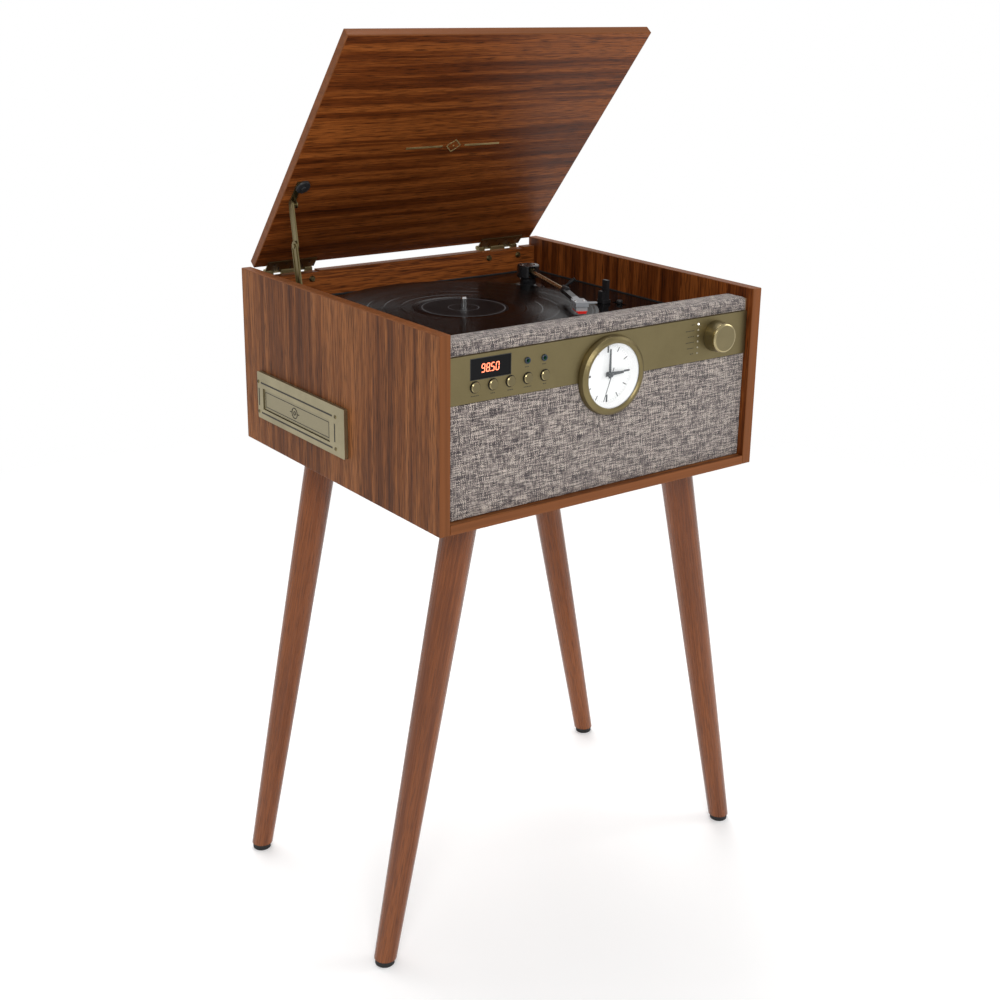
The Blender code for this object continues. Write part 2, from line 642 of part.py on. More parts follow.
def hinges():
    for name, side in (("left", -1), ("right", 1)):
        x = side * LEAF_CENTRE
        bm = bmesh.new()
        box(bm, (x - LEAF_HALF, 0.1860, 0.6815), (x + LEAF_HALF, 0.2000, LID_REST - GAP))
        leaf = place(f"hinge_lid_leaf_{name}", bm, "antique_brass", **lid_frame())

        def tongues(b, x=x):
            for low, high in LID_SPANS:
                box(b, (x + low, 0.1980, 0.6815), (x + high, HINGE_Y + 0.0002, LID_REST - GAP))

        def lid_knuckles(b, x=x):
            knuckles(b, x, LID_SPANS)

        def pin_way(b, x=x):
            rod(b, (x - 0.04, HINGE_Y, HINGE_Z), (x + 0.04, HINGE_Y, HINGE_Z), PIN + GAP, segments=20)

        join(leaf, tongues, lid_knuckles)
        cut(leaf, pin_way)

        bm = bmesh.new()
        box(bm, (x - 0.0300, BACK + GAP, 0.6560), (x + 0.0300, BACK + 0.0015, 0.6780))
        fixed = place(f"hinge_back_leaf_{name}", bm, "antique_brass")

        def tabs(b, x=x):
            for low, high in BACK_SPANS:
                box(b, (x + low, BACK + GAP, 0.6770), (x + high, BACK + 0.0030, HINGE_Z))
            for bolt in (-1, 1):
                bx = x + bolt * 0.0226
                rod(b, (bx, 0.1850, 0.6735), (bx, BACK + 0.0010, 0.6735), 0.0018, segments=16)

        def nuts(b, x=x):
            for bolt in (-1, 1):
                bx = x + bolt * 0.0226
                rod(b, (bx, BACK + 0.0008, 0.6735), (bx, BACK + 0.0035, 0.6735), 0.0034, segments=16)
                rod(b, (bx, 0.1877, 0.6735), (bx, 0.1855, 0.6735), 0.0040, 0.0026, segments=16)

        def back_knuckles(b, x=x):
            knuckles(b, x, BACK_SPANS)

        join(fixed, tabs, nuts, back_knuckles)
        cut(fixed, pin_way)
        join_pin(fixed, x)


def join_pin(leaf, x):
    """The pin is riveted into the outer knuckles."""
    bm = bmesh.new()
    rod(bm, (x - 0.0302, HINGE_Y, HINGE_Z), (x + 0.0302, HINGE_Y, HINGE_Z), PIN, segments=20)
    for end in (-1, 1):
        near, far = x + end * 0.0292, x + end * 0.0304
        rod(bm, (near, HINGE_Y, HINGE_Z), (far, HINGE_Y, HINGE_Z), KNUCKLE - 0.0004, segments=20)
    helper = tool(f"{leaf.name}_pin", bm)
    helper.parent = leaf
    change = leaf.modifiers.new("pin", "BOOLEAN")
    change.operation = "UNION"
    change.solver = "EXACT"
    change.use_self = True
    change.object = helper


STAY_TOP_CLOSED = (0.0843, 0.6760)
STAY_BASE = (0.1010, 0.6680)
UPPER_REACH, LOWER_REACH = 0.0441, 0.06135


def from_closed(point):
    """Where a point drawn on the closed lid lies with the lid open."""
    dy, dz = point[0] - HINGE_Y, point[1] - HINGE_Z
    y = HINGE_Y + dy * cos(LID_OPEN) + dz * sin(LID_OPEN)
    z = HINGE_Z - dy * sin(LID_OPEN) + dz * cos(LID_OPEN)
    return (y, z)


def knee(top, base):
    """The knee of the two-arm stay, on its front side."""
    dy, dz = top[0] - base[0], top[1] - base[1]
    span = hypot(dy, dz)
    along = (LOWER_REACH**2 - UPPER_REACH**2 + span**2) / (2 * span)
    off = sqrt(max(LOWER_REACH**2 - along**2, 0))
    return (base[0] + (dy * along - dz * off * -1) / span, base[1] + (dz * along + dy * off * -1) / span)


def lid_stay():
    x = -0.1840
    top, base = from_closed(STAY_TOP_CLOSED), STAY_BASE
    bend = knee(top, base)
    ty, tz = STAY_TOP_CLOSED
    ear = [(ty + 0.0042 * cos(pi * i / 8), tz - 0.0042 * sin(pi * i / 8)) for i in range(9)]
    ear += [(ty - 0.0042, LID_REST - 0.001), (ty + 0.0042, LID_REST - 0.001)]
    bm = bmesh.new()
    box(bm, (-0.1855, 0.0560, LID_REST - 0.0015), (-0.1785, 0.0900, LID_REST - GAP))
    bracket = place("stay_lid_bracket", bm, "antique_brass", **lid_frame())
    join(
        bracket,
        lambda b: slab(b, ear, -0.1820, -0.1806, axis="X"),
        lambda b: rod(b, (-0.1812, ty, tz), (-0.1858, ty, tz), 0.0017, segments=16),
        lambda b: rod(b, (-0.1765, 0.0640, LID_REST - 0.0005), (-0.1765, 0.0640, LID_REST - 0.0032), 0.0080,
                      0.0068, segments=28),
    )

    bm = bmesh.new()
    slab(bm, capsule(top, bend, 0.0050), -0.1872, -0.1860, axis="X")
    arm = place("stay_upper_arm", bm, "antique_brass", (x, *top))
    cut(arm, lambda b: rod(b, (-0.19, *top), (-0.18, *top), 0.0017 + GAP, segments=16))
    join(arm, lambda b: rod(b, (-0.1866, *bend), (-0.1852, *bend), 0.0026, segments=16))

    bm = bmesh.new()
    slab(bm, capsule(base, bend, 0.0055), -0.1892, -0.1876, axis="X")
    arm = place("stay_lower_arm", bm, "antique_brass", (x, *base))
    cut(arm, lambda b: rod(b, (-0.195, *base), (-0.18, *base), 0.0017 + GAP, segments=16))
    join(arm, lambda b: rod(b, (-0.1884, *bend), (-0.1906, *bend), 0.0026, segments=16))

    bm = bmesh.new()
    y, z = base
    box(bm, (-INNER + GAP, y - 0.0200, z - 0.0110), (-INNER + 0.0018, y + 0.0120, z + 0.0090))
    plate = place("stay_base_bracket", bm, "antique_brass")
    join(plate, lambda b: rod(b, (-INNER + 0.0010, y, z), (-0.1898, y, z), 0.0045, segments=20),
         lambda b: rod(b, (-0.1905, y, z), (-0.1858, y, z), 0.0017, segments=16))


# ---------- CD drawer ----------

def cd_drawer():
    out = -WIDTH / 2
    bm = bmesh.new()
    slab(bm, rounded(-0.0300, 0.5280, 0.1620, 0.5820, 0.0015, 2), out - 0.0045, out - GAP, axis="X")
    frame = place("cd_frame", bm, "antique_brass")
    lip = 0.0006
    cut(frame, lambda b: box(b, (out - 0.01, TRAY_FRONT - lip, TRAY_LOW - lip),
                             (out + 0.01, TRAY_BACK + lip, TRAY_HIGH + lip)))

    middle, depth = (TRAY_FRONT + TRAY_BACK) / 2, 0.1460
    bm = bmesh.new()
    box(bm, (out - 0.0030, TRAY_FRONT, TRAY_LOW), (out + 0.0020, TRAY_BACK, TRAY_HIGH))
    tray = place("cd_tray", bm, "antique_brass", (out, middle, 0.5520))
    bed = 0.5470
    join(tray, lambda b: box(
        b, (out + 0.0010, TRAY_FRONT + 0.0040, bed), (out + depth, TRAY_BACK - 0.0040, 0.5525)))
    centre = out + 0.0670
    dish = [(0, bed + 0.0015), (0.0605, bed + 0.0015), (0.0605, 0.56), (0, 0.56)]
    cut(tray, lambda b: turned(b, dish, (centre, middle, 0), segments=56))

    bm = bmesh.new()
    low, high, far = 0.5350, 0.5700, out + 0.1580
    box(bm, (-INNER + 0.0005, TRAY_FRONT - 0.0060, low), (far, TRAY_BACK + 0.0060, high))
    unit = place("cd_mechanism", bm, "matt_black")
    cut(unit, lambda b: box(
        b, (-WIDTH, TRAY_FRONT - 0.0020, 0.5385), (far - 0.0100, TRAY_BACK + 0.0020, 0.5660)))


# ---------- sound and power ----------

def speakers():
    cone = [(0, 0.0), (0.0110, 0.0), (0.0290, 0.0100), (0.0310, 0.0128), (0.0370, 0.0128), (0.0370, 0.0104),
            (0.0320, 0.0104), (0.0160, -0.0060), (0.0160, -0.0120), (0.0250, -0.0120), (0.0250, -0.0220),
            (0, -0.0220)]
    for name, side in (("speaker_left", -1), ("speaker_right", 1)):
        face = BAFFLE_FRONT + BAFFLE_THICK + GAP + 0.0128
        bm = bmesh.new()
        turned(bm, cone, (side * 0.115, face, 0.556), axis="Y", segments=40)
        place(name, bm, "matt_black")


def amplifier():
    bm = bmesh.new()
    slab(bm, rounded(-0.058, 0.522, 0.058, 0.598, 0.003), BACK + GAP, BACK + 0.0016, axis="Y")
    unit = place("amplifier_module", bm, "matt_black")
    join(unit, lambda b: box(b, (-0.0485, 0.150, 0.5315), (0.0485, BACK + 0.0010, 0.5885)))

    def sockets(b):
        for x in (-0.036, -0.018):
            rod(b, (x, BACK + 0.001, 0.560), (x, BACK + 0.0083, 0.560), 0.0042, segments=20)

    join(unit, sockets)
    cut(unit, lambda b: rod(b, (0.030, BACK - 0.008, 0.560), (0.030, BACK + 0.01, 0.560), 0.0030, segments=20))


# ---------- legs ----------

def leg_tops():
    return [(side * x, y) for x, y in LEG_TOP.values() for side in (-1, 1)]


def legs():
    for end, (top_x, top_y) in LEG_TOP.items():
        foot_x, foot_y = LEG_FOOT[end]
        for name, side in (("left", -1), ("right", 1)):
            top = Vector((side * top_x, top_y, FLOOR_TO_BOX - GAP))
            foot = Vector((side * foot_x, foot_y, 0))
            low = foot.lerp(top, (GLIDE_HEIGHT + GAP) / top.z)
            bm = bmesh.new()
            steps, segments = 4, 28
            rings = []
            for i in range(steps + 1):
                share = i / steps
                centre = low.lerp(top, share)
                swell = 0.0006 * sin(pi * share)
                radius = LEG_FOOT_RADIUS + (LEG_TOP_RADIUS - LEG_FOOT_RADIUS) * share + swell
                rings.append([
                    bm.verts.new(centre + Vector((radius * cos(2 * pi * k / segments),
                                                  radius * sin(2 * pi * k / segments), 0)))
                    for k in range(segments)])
            for lower, upper in zip(rings, rings[1:]):
                for k in range(segments):
                    after = (k + 1) % segments
                    bm.faces.new((lower[k], lower[after], upper[after], upper[k]))
            bm.faces.new(rings[0])
            bm.faces.new(rings[-1])
            leg = place(f"leg_{end}_{name}", bm, "leg_wood")
            low, high = top - Vector((0, 0, 0.01)), top + Vector((0, 0, 0.007))
            join(leg, lambda b: rod(b, low, high, 0.0040, segments=16))
            bm = bmesh.new()
            at = foot.lerp(top, GLIDE_HEIGHT / 2 / top.z)
            pad = [(0, 0), (GLIDE_RADIUS - 0.001, 0), (GLIDE_RADIUS, 0.001), (GLIDE_RADIUS, GLIDE_HEIGHT),
                   (0, GLIDE_HEIGHT)]
            turned(bm, pad, (at.x, at.y, 0), segments=28)
            place(f"glide_{end}_{name}", bm, "rubber")


for build in (
    side_panels, bottom_panel, back_panel, deck_board, baffle_board, coverings, control_fascia, display_window,
    buttons, control_board, selector_knob, clock, turntable, tonearm, arm_rest, levers, lid_panel, hinges,
    lid_stay, cd_drawer, speakers, amplifier, legs,
):
    build()
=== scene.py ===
import json
from math import cos, pi, radians, sin

import bmesh
import bpy
from mathutils import Matrix, Vector


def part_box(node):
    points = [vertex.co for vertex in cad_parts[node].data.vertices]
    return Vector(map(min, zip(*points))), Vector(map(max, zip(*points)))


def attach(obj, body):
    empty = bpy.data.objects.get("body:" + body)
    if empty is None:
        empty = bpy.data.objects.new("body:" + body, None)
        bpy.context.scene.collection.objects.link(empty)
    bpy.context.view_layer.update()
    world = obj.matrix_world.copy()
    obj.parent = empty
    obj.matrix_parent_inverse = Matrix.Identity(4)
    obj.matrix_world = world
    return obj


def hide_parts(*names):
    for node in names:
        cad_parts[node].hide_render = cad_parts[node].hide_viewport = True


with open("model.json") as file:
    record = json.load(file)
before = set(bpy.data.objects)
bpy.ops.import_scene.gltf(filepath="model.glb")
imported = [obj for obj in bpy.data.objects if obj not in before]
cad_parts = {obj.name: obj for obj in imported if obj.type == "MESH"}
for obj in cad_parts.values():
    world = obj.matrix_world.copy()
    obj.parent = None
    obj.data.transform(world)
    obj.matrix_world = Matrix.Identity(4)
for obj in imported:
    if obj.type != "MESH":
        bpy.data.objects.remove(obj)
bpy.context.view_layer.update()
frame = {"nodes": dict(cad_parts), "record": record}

nodes = frame["nodes"]
joints = {joint["name"]: joint for joint in frame["record"]["behaviour"]["joints"]}


# camera and light
studio = {
    "place": (-0.9427, -1.2829, 1.0027), "yaw": 36.876, "pitch": 17.778, "roll": 0.907,
    "lens": 52.46, "shift": (-0.0078, -0.0494),
    "roomLight": 0.62, "backdrop": 1.0, "floorColour": (0.93, 0.93, 0.93), "floorGlow": 0.12,
    # name: place, width, watts
    "lamps": {
        "keyLamp": ((-1.5, -2.3, 2.3), 1.3, 42),
        "sideLamp": ((2.3, -1.5, 1.5), 1.2, 16),
        "topLamp": ((0.3, 1.1, 2.5), 1.5, 34),
    },
}


def makeCamera():
    data = bpy.data.cameras.new("studioCamera")
    data.lens = studio["lens"]
    data.sensor_width = 36
    data.shift_x, data.shift_y = studio["shift"]
    data.clip_start, data.clip_end = 0.01, 60
    camera = bpy.data.objects.new("studioCamera", data)
    bpy.context.collection.objects.link(camera)
    yaw, pitch, roll = (radians(studio[k]) for k in ("yaw", "pitch", "roll"))
    ahead = Vector((sin(yaw) * cos(pitch), cos(yaw) * cos(pitch), -sin(pitch)))
    level = Vector((cos(yaw), -sin(yaw), 0))
    rise = level.cross(ahead)
    right = level * cos(roll) + rise * sin(roll)
    up = rise * cos(roll) - level * sin(roll)
    turn = Matrix((right, up, -ahead)).transposed().to_4x4()
    camera.matrix_world = Matrix.Translation(studio["place"]) @ turn
    bpy.context.scene.camera = camera


# node tree helpers
def newMaterial(name):
    made = bpy.data.materials.new(name)
    made.use_nodes = True
    return made, made.node_tree, made.node_tree.nodes["Principled BSDF"]


def plug(tree, socket, value):
    if isinstance(value, bpy.types.NodeSocket):
        tree.links.new(value, socket)
    elif isinstance(value, tuple) and len(value) == 3 and len(socket.default_value) == 4:
        socket.default_value = (*value, 1)
    else:
        socket.default_value = value


def node(tree, kind, inputs=None, **settings):
    made = tree.nodes.new(kind)
    for key, value in settings.items():
        setattr(made, key, value)
    for key, value in (inputs or {}).items():
        plug(tree, made.inputs[key], value)
    return made


def point(tree, scale=(1, 1, 1), turn=(0, 0, 0), move=(0, 0, 0), source="Object"):
    coords = node(tree, "ShaderNodeTexCoord")
    return node(tree, "ShaderNodeMapping", {"Vector": coords.outputs[source], "Scale": scale,
                                            "Rotation": turn, "Location": move}).outputs[0]


def noise(tree, vector, scale, detail=4.0, rough=0.55, warp=0.0):
    return node(tree, "ShaderNodeTexNoise", {"Vector": vector, "Scale": scale, "Detail": detail,
                                             "Roughness": rough, "Distortion": warp}).outputs["Fac"]


def ramp(tree, factor, stops):
    made = node(tree, "ShaderNodeValToRGB", {"Fac": factor})
    points = made.color_ramp.elements
    while len(points) < len(stops):
        points.new(0.5)
    for each, (place, colour) in zip(points, stops):
        each.position = place
        each.color = (*colour, 1)
    return made.outputs["Color"]


def span(tree, value, start, end, low=0.0, high=1.0):
    return node(tree, "ShaderNodeMapRange", {"Value": value, "From Min": start, "From Max": end,
                                             "To Min": low, "To Max": high}).outputs[0]


def mix(tree, factor, a, b, blend="MIX"):
    made = node(tree, "ShaderNodeMix", data_type="RGBA", blend_type=blend)
    plug(tree, made.inputs[0], factor)
    plug(tree, made.inputs[6], a)
    plug(tree, made.inputs[7], b)
    return made.outputs[2]


def calc(tree, operation, a, b=0.0, c=0.0):
    made = node(tree, "ShaderNodeMath", operation=operation)
    for index, value in enumerate((a, b, c)):
        plug(tree, made.inputs[index], value)
    return made.outputs[0]


def parts(tree, vector):
    return node(tree, "ShaderNodeSeparateXYZ", {"Vector": vector}).outputs


def bump(tree, height, strength, distance, normal=None):
    made = node(tree, "ShaderNodeBump", {"Height": height, "Strength": strength, "Distance": distance})
    if normal is not None:
        tree.links.new(normal, made.inputs["Normal"])
    return made.outputs[0]


sockets = {
    "colour": "Base Color", "rough": "Roughness", "metal": "Metallic", "normal": "Normal",
    "coat": "Coat Weight",
    "coatRough": "Coat Roughness", "specular": "Specular IOR Level", "sheen": "Sheen Weight",
    "sheenRough": "Sheen Roughness", "glow": "Emission Color", "glowPower": "Emission Strength",
    "alpha": "Alpha",
}


def shade(tree, shader, **values):
    for key, value in values.items():
        plug(tree, shader.inputs[sockets[key]], value)


# finishes
walnut = {"dark": (0.062, 0.0180, 0.0055), "middle": (0.172, 0.056, 0.0160), "light": (0.300, 0.112, 0.0350),
          "pore": (0.032, 0.0095, 0.0032), "edge": (0.225, 0.076, 0.0240), "rough": 0.50, "specular": 0.12}
redWalnut = {"dark": (0.040, 0.0080, 0.0016), "middle": (0.138, 0.033, 0.0060),
             "light": (0.300, 0.086, 0.0170),
             "pore": (0.020, 0.0045, 0.0012), "edge": (0.205, 0.066, 0.0180), "rough": 0.40, "specular": 0.14}
legStain = {"dark": (0.110, 0.0270, 0.0060), "middle": (0.195, 0.055, 0.0120),
            "light": (0.250, 0.074, 0.0170), "pore": (0.110, 0.0300, 0.0070),
            "edge": (0.200, 0.080, 0.0300), "rough": 0.24, "specular": 0.38}


def veneer(name, grain, look, seed=0.0, turn=(0, 0, 0), move=(0, 0, 0), bands=(), wavy=0.25):
    # grain is the axis that the fibres run along, counted after the turn
    # bands are bare edges, each (axis, from, to)
    made, tree, shader = newMaterial(name)
    place = point(tree, turn=turn, move=move)

    def stretched(across, lengthwise, shift=0.0):
        scale = [across] * 3
        scale["XYZ".index(grain)] = lengthwise
        return node(tree, "ShaderNodeMapping", {"Vector": place, "Scale": tuple(scale),
                                                "Location": (seed + shift, seed * 0.7,
                                                             seed * 1.3)}).outputs[0]

    figure = noise(tree, stretched(14, 1.6), 1.0, 3, 0.5, wavy)
    streaks = noise(tree, stretched(120, 2.1, 3.1), 1.0, 5, 0.66, 0.12)
    fibres = noise(tree, stretched(520, 14, 7.7), 1.0, 4, 0.6)
    pores = noise(tree, stretched(1150, 45, 1.9), 1.0, 2, 0.5)
    rings = node(tree, "ShaderNodeTexWave", {
        "Vector": stretched(16, 0.45, 5.3), "Scale": 1.9, "Distortion": 2.2, "Detail": 3.0,
        "Detail Scale": 0.8,
    }, wave_type="BANDS", bands_direction="DIAGONAL").outputs["Fac"]
    tone = calc(tree, "MULTIPLY_ADD", figure, 0.34, calc(tree, "MULTIPLY", streaks, 0.40))
    tone = calc(tree, "MULTIPLY_ADD", fibres, 0.22, tone)
    tone = calc(tree, "MULTIPLY_ADD", rings, 0.06, tone)
    colour = ramp(tree, span(tree, tone, 0.37, 0.65), [
        (0.0, look["dark"]), (0.42, look["middle"]), (0.72, look["light"]), (1.0, look["middle"])])
    pore = span(tree, pores, 0.36, 0.50, 0.75, 0.0)
    colour = mix(tree, pore, colour, look["pore"])
    cloud = noise(tree, place, 4.5, 2)
    colour = mix(tree, 0.55, colour, ramp(tree, cloud, [(0.3, (0.72, 0.68, 0.66)), (0.7, (1.0, 1.0, 1.0))]),
                 "MULTIPLY")
    for axis, low, high in bands:
        along = parts(tree, place)[axis]
        inside = calc(tree, "MULTIPLY", calc(tree, "GREATER_THAN", along, low),
                      calc(tree, "LESS_THAN", along, high))
        strip = mix(tree, span(tree, streaks, 0.3, 0.7), look["edge"], tuple(0.62 * c for c in look["edge"]))
        colour = mix(tree, inside, colour, strip)
    grainBump = calc(tree, "MULTIPLY_ADD", pore, -0.8, calc(tree, "MULTIPLY", fibres, 0.5))
    shade(tree, shader, colour=colour, rough=span(tree, fibres, 0.3, 0.7, look["rough"] - 0.06,
                                                  look["rough"] + 0.10),
          normal=bump(tree, grainBump, 0.24, 0.0002), specular=look["specular"])
    return made


def tweed(name, pitch=0.00125):
    made, tree, shader = newMaterial(name)
    cloth = {"cream": (0.70, 0.61, 0.53), "stone": (0.27, 0.22, 0.20), "taupe": (0.095, 0.072, 0.074),
             "ink": (0.022, 0.016, 0.019)}
    place = point(tree, source="UV")
    wobble = noise(tree, place, 260, 2, 0.5)
    offset = calc(tree, "MULTIPLY", calc(tree, "SUBTRACT", wobble, 0.5), 0.9)
    u, v = parts(tree, place)[:2]
    across = calc(tree, "MULTIPLY_ADD", u, pi / pitch, offset)
    down = calc(tree, "MULTIPLY_ADD", v, pi / pitch, offset)
    checker = calc(tree, "MULTIPLY", calc(tree, "SINE", across), calc(tree, "SINE", down))

    def yarn(scale, shift):
        slub = noise(tree, node(tree, "ShaderNodeMapping", {
            "Vector": place, "Scale": scale, "Location": (shift, shift * 0.6, shift * 0.3)}).outputs[0],
            1.0, 3, 0.7)
        return ramp(tree, slub, [(0.40, cloth["ink"]), (0.46, cloth["taupe"]), (0.52, cloth["stone"]),
                                 (0.575, cloth["cream"])]), slub

    warp, warpSlub = yarn((1 / pitch * 0.9, 95, 1), 3.0)
    weft, weftSlub = yarn((70, 1 / pitch * 0.9, 1), 11.0)
    over = span(tree, checker, -0.18, 0.18)
    colour = mix(tree, over, weft, warp)
    roundness = calc(tree, "ABSOLUTE", checker)
    # painted shade: the colour darkens towards near-black in the valleys between the yarn floats
    colour = mix(tree, span(tree, roundness, 0.0, 0.30, 0.55, 0.0), colour, (0.045, 0.035, 0.038))
    fuzz = noise(tree, place, 2600, 2)
    height = calc(tree, "MULTIPLY_ADD", fuzz, 0.35, calc(tree, "POWER", roundness, 0.6))
    height = calc(tree, "MULTIPLY_ADD", mix(tree, over, weftSlub, warpSlub), 0.6, height)
    shade(tree, shader, colour=colour, rough=0.93, normal=bump(tree, height, 0.9, 0.0006), sheen=0.25,
          sheenRough=0.5, specular=0.2)
    return made


def metal(name, colour, rough=0.4, grain=0.25, grainScale=1500, stretch=(1, 1, 1), tarnish=0.35,
          dark=(0.4, 0.38, 0.34)):
    made, tree, shader = newMaterial(name)
    place = point(tree, scale=stretch)
    fine = noise(tree, place, grainScale, 3, 0.6)
    cloud = noise(tree, place, 24, 4, 0.6)
    worn = tuple(c * d for c, d in zip(colour, dark))
    tone = mix(tree, span(tree, cloud, 0.35, 0.75, 0.0, tarnish), colour, worn)
    tone = mix(tree, span(tree, fine, 0.35, 0.65, 0.0, 0.30), tone, tuple(min(1, c * 1.5) for c in colour))
    shade(tree, shader, colour=tone, metal=1.0, rough=span(tree, fine, 0.3, 0.7, rough - 0.07, rough + 0.09),
          normal=bump(tree, fine, grain, 0.0001))
    return made


def plastic(name, colour, rough=0.4, grain=0.1, grainScale=900, coat=0.0, smudge=0.06, specular=0.4):
    made, tree, shader = newMaterial(name)
    place = point(tree)
    fine = noise(tree, place, grainScale, 3)
    cloud = noise(tree, place, 18, 4, 0.6)
    tone = mix(tree, span(tree, cloud, 0.3, 0.7, 0.0, 0.5), colour,
               tuple(min(1, c * 1.3 + 0.002) for c in colour))
    shade(tree, shader, colour=tone, rough=span(tree, cloud, 0.3, 0.7, rough - smudge * 0.5, rough + smudge),
          normal=bump(tree, fine, grain, 0.00008), coat=coat, coatRough=0.06, specular=specular)
    return made


def zoned(name, axis, split, low, high, roughLow=0.4, roughHigh=0.4, metalLow=0.0, metalHigh=0.0):
    # two colours of one moulding, parted at a height, a depth or a radius
    made, tree, shader = newMaterial(name)
    place = point(tree)
    fine = noise(tree, place, 1200, 3)
    if isinstance(axis, tuple):
        radius = node(tree, "ShaderNodeVectorMath", {0: node(tree, "ShaderNodeMapping", {
            "Vector": place, "Location": tuple(-c for c in axis[0]), "Scale": axis[1]}).outputs[0]},
            operation="LENGTH").outputs["Value"]
        along = radius
    else:
        along = parts(tree, place)[axis]
    above = calc(tree, "GREATER_THAN", along, split)
    tone = mix(tree, above, low, high)
    tone = mix(tree, span(tree, fine, 0.3, 0.7, 0.0, 0.35), tone,
               mix(tree, 1.0, tone, (0.75, 0.75, 0.75), "MULTIPLY"))
    shade(tree, shader, colour=tone, rough=span(tree, above, 0, 1, roughLow, roughHigh),
          metal=span(tree, above, 0, 1, metalLow, metalHigh), normal=bump(tree, fine, 0.12, 0.0001))
    return made


def vinyl(name, centre):
    made, tree, shader = newMaterial(name)
    place = point(tree, move=(-centre[0], -centre[1], 0))
    flat = node(tree, "ShaderNodeVectorMath", {0: place, 1: (1, 1, 0)}, operation="MULTIPLY").outputs[0]
    radius = node(tree, "ShaderNodeVectorMath", {0: flat}, operation="LENGTH").outputs["Value"]
    groove = calc(tree, "SINE", calc(tree, "MULTIPLY", radius, 2 * pi / 0.00062))
    uneven = noise(tree, node(tree, "ShaderNodeCombineXYZ",
                              {"X": calc(tree, "MULTIPLY", radius, 260)}).outputs[0], 1.0, 3)
    track = calc(tree, "GREATER_THAN", calc(tree, "SINE", calc(tree, "MULTIPLY", radius, 2 * pi / 0.0185)),
                 -0.975)
    cut = calc(tree, "MULTIPLY", calc(tree, "GREATER_THAN", radius, 0.0575),
               calc(tree, "LESS_THAN", radius, 0.1465))
    cut = calc(tree, "MULTIPLY", cut, track)
    label = calc(tree, "LESS_THAN", radius, 0.050)
    ring = calc(tree, "LESS_THAN", calc(tree, "ABSOLUTE", calc(tree, "SUBTRACT", radius, 0.0462)), 0.0006)
    inner = calc(tree, "LESS_THAN", calc(tree, "ABSOLUTE", calc(tree, "SUBTRACT", radius, 0.0170)), 0.0004)
    paper = mix(tree, noise(tree, place, 900, 3), (0.006, 0.006, 0.007), (0.012, 0.012, 0.013))
    paper = mix(tree, calc(tree, "MAXIMUM", ring, inner), paper, (0.17, 0.175, 0.185))
    plain = mix(tree, uneven, (0.003, 0.003, 0.0035), (0.007, 0.007, 0.0075))
    height = calc(tree, "MULTIPLY", calc(tree, "MULTIPLY", groove, cut),
                  calc(tree, "MULTIPLY_ADD", uneven, 0.8, 0.5))
    shade(tree, shader, colour=mix(tree, label, plain, paper),
          rough=calc(tree, "ADD", span(tree, cut, 0, 1, 0.10, 0.23), span(tree, label, 0, 1, 0.0, 0.30)),
          normal=bump(tree, height, 0.32, 0.00006), specular=0.09)
    return made


def turnedMetal(name, centre, colour, face, rim):
    # rings of fine turning marks on the front, and a rim ring that is smoother for its polish and painted 1.6
    # times brighter as a painted highlight
    made, tree, shader = newMaterial(name)
    place = point(tree, move=tuple(-c for c in centre))
    flat = node(tree, "ShaderNodeVectorMath", {0: place, 1: (1, 0, 1)}, operation="MULTIPLY").outputs[0]
    radius = node(tree, "ShaderNodeVectorMath", {0: flat}, operation="LENGTH").outputs["Value"]
    marks = noise(tree, node(tree, "ShaderNodeCombineXYZ",
                             {"X": calc(tree, "MULTIPLY", radius, 5200)}).outputs[0], 1.0, 2)
    cloud = noise(tree, place, 60, 3)
    bright = calc(tree, "MULTIPLY", calc(tree, "GREATER_THAN", radius, face),
                  calc(tree, "LESS_THAN", radius, rim))
    # painted highlight: the rim ring's colour is brightened; its lower roughness is real polish
    tone = mix(tree, bright, mix(tree, cloud, tuple(0.75 * c for c in colour), colour),
               tuple(min(1, 1.6 * c) for c in colour))
    shade(tree, shader, colour=tone, metal=1.0, rough=span(tree, bright, 0, 1, 0.40, 0.24),
          normal=bump(tree, marks, 0.22, 0.0001))
    return made


def glow(name, colour, power):
    made, tree, shader = newMaterial(name)
    spot = noise(tree, point(tree), 900, 2)
    shade(tree, shader, colour=(0.02, 0.02, 0.02), rough=0.3,
          glow=mix(tree, spot, colour, tuple(0.8 * c for c in colour)), glowPower=power)
    return made


def clearGlass(name):
    made, tree, shader = newMaterial(name)
    haze = noise(tree, point(tree), 30, 3)
    shade(tree, shader, colour=(0.9, 0.95, 1.0), alpha=0.05, rough=span(tree, haze, 0.3, 0.7, 0.01, 0.04))
    return made


# making and placing pieces
def finishPiece(name, bm, material, body, sharp=34):
    bmesh.ops.remove_doubles(bm, verts=bm.verts, dist=0.000001)
    bmesh.ops.recalc_face_normals(bm, faces=bm.faces)
    mesh = bpy.data.meshes.new(name)
    bm.to_mesh(mesh)
    bm.free()
    mesh.shade_smooth()
    mesh.set_sharp_from_angle(angle=radians(sharp))
    mesh.materials.append(material)
    made = bpy.data.objects.new(name, mesh)
    bpy.context.collection.objects.link(made)
    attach(made, body)
    return made


def addBox(bm, low, high, bevel=0.0, segments=2):
    low, high = Vector(low), Vector(high)
    frameAt = Matrix.Translation((low + high) / 2) @ Matrix.Diagonal((*(high - low), 1))
    verts = bmesh.ops.create_cube(bm, size=1, matrix=frameAt)["verts"]
    if bevel:
        edges = list({e for v in verts for e in v.link_edges})
        grown = bmesh.ops.bevel(bm, geom=edges, offset=bevel, segments=segments, affect="EDGES",
                                profile=0.5, material=-1)
        verts = list({v for f in grown["faces"] for v in f.verts} | {v for v in verts if v.is_valid})
    return verts


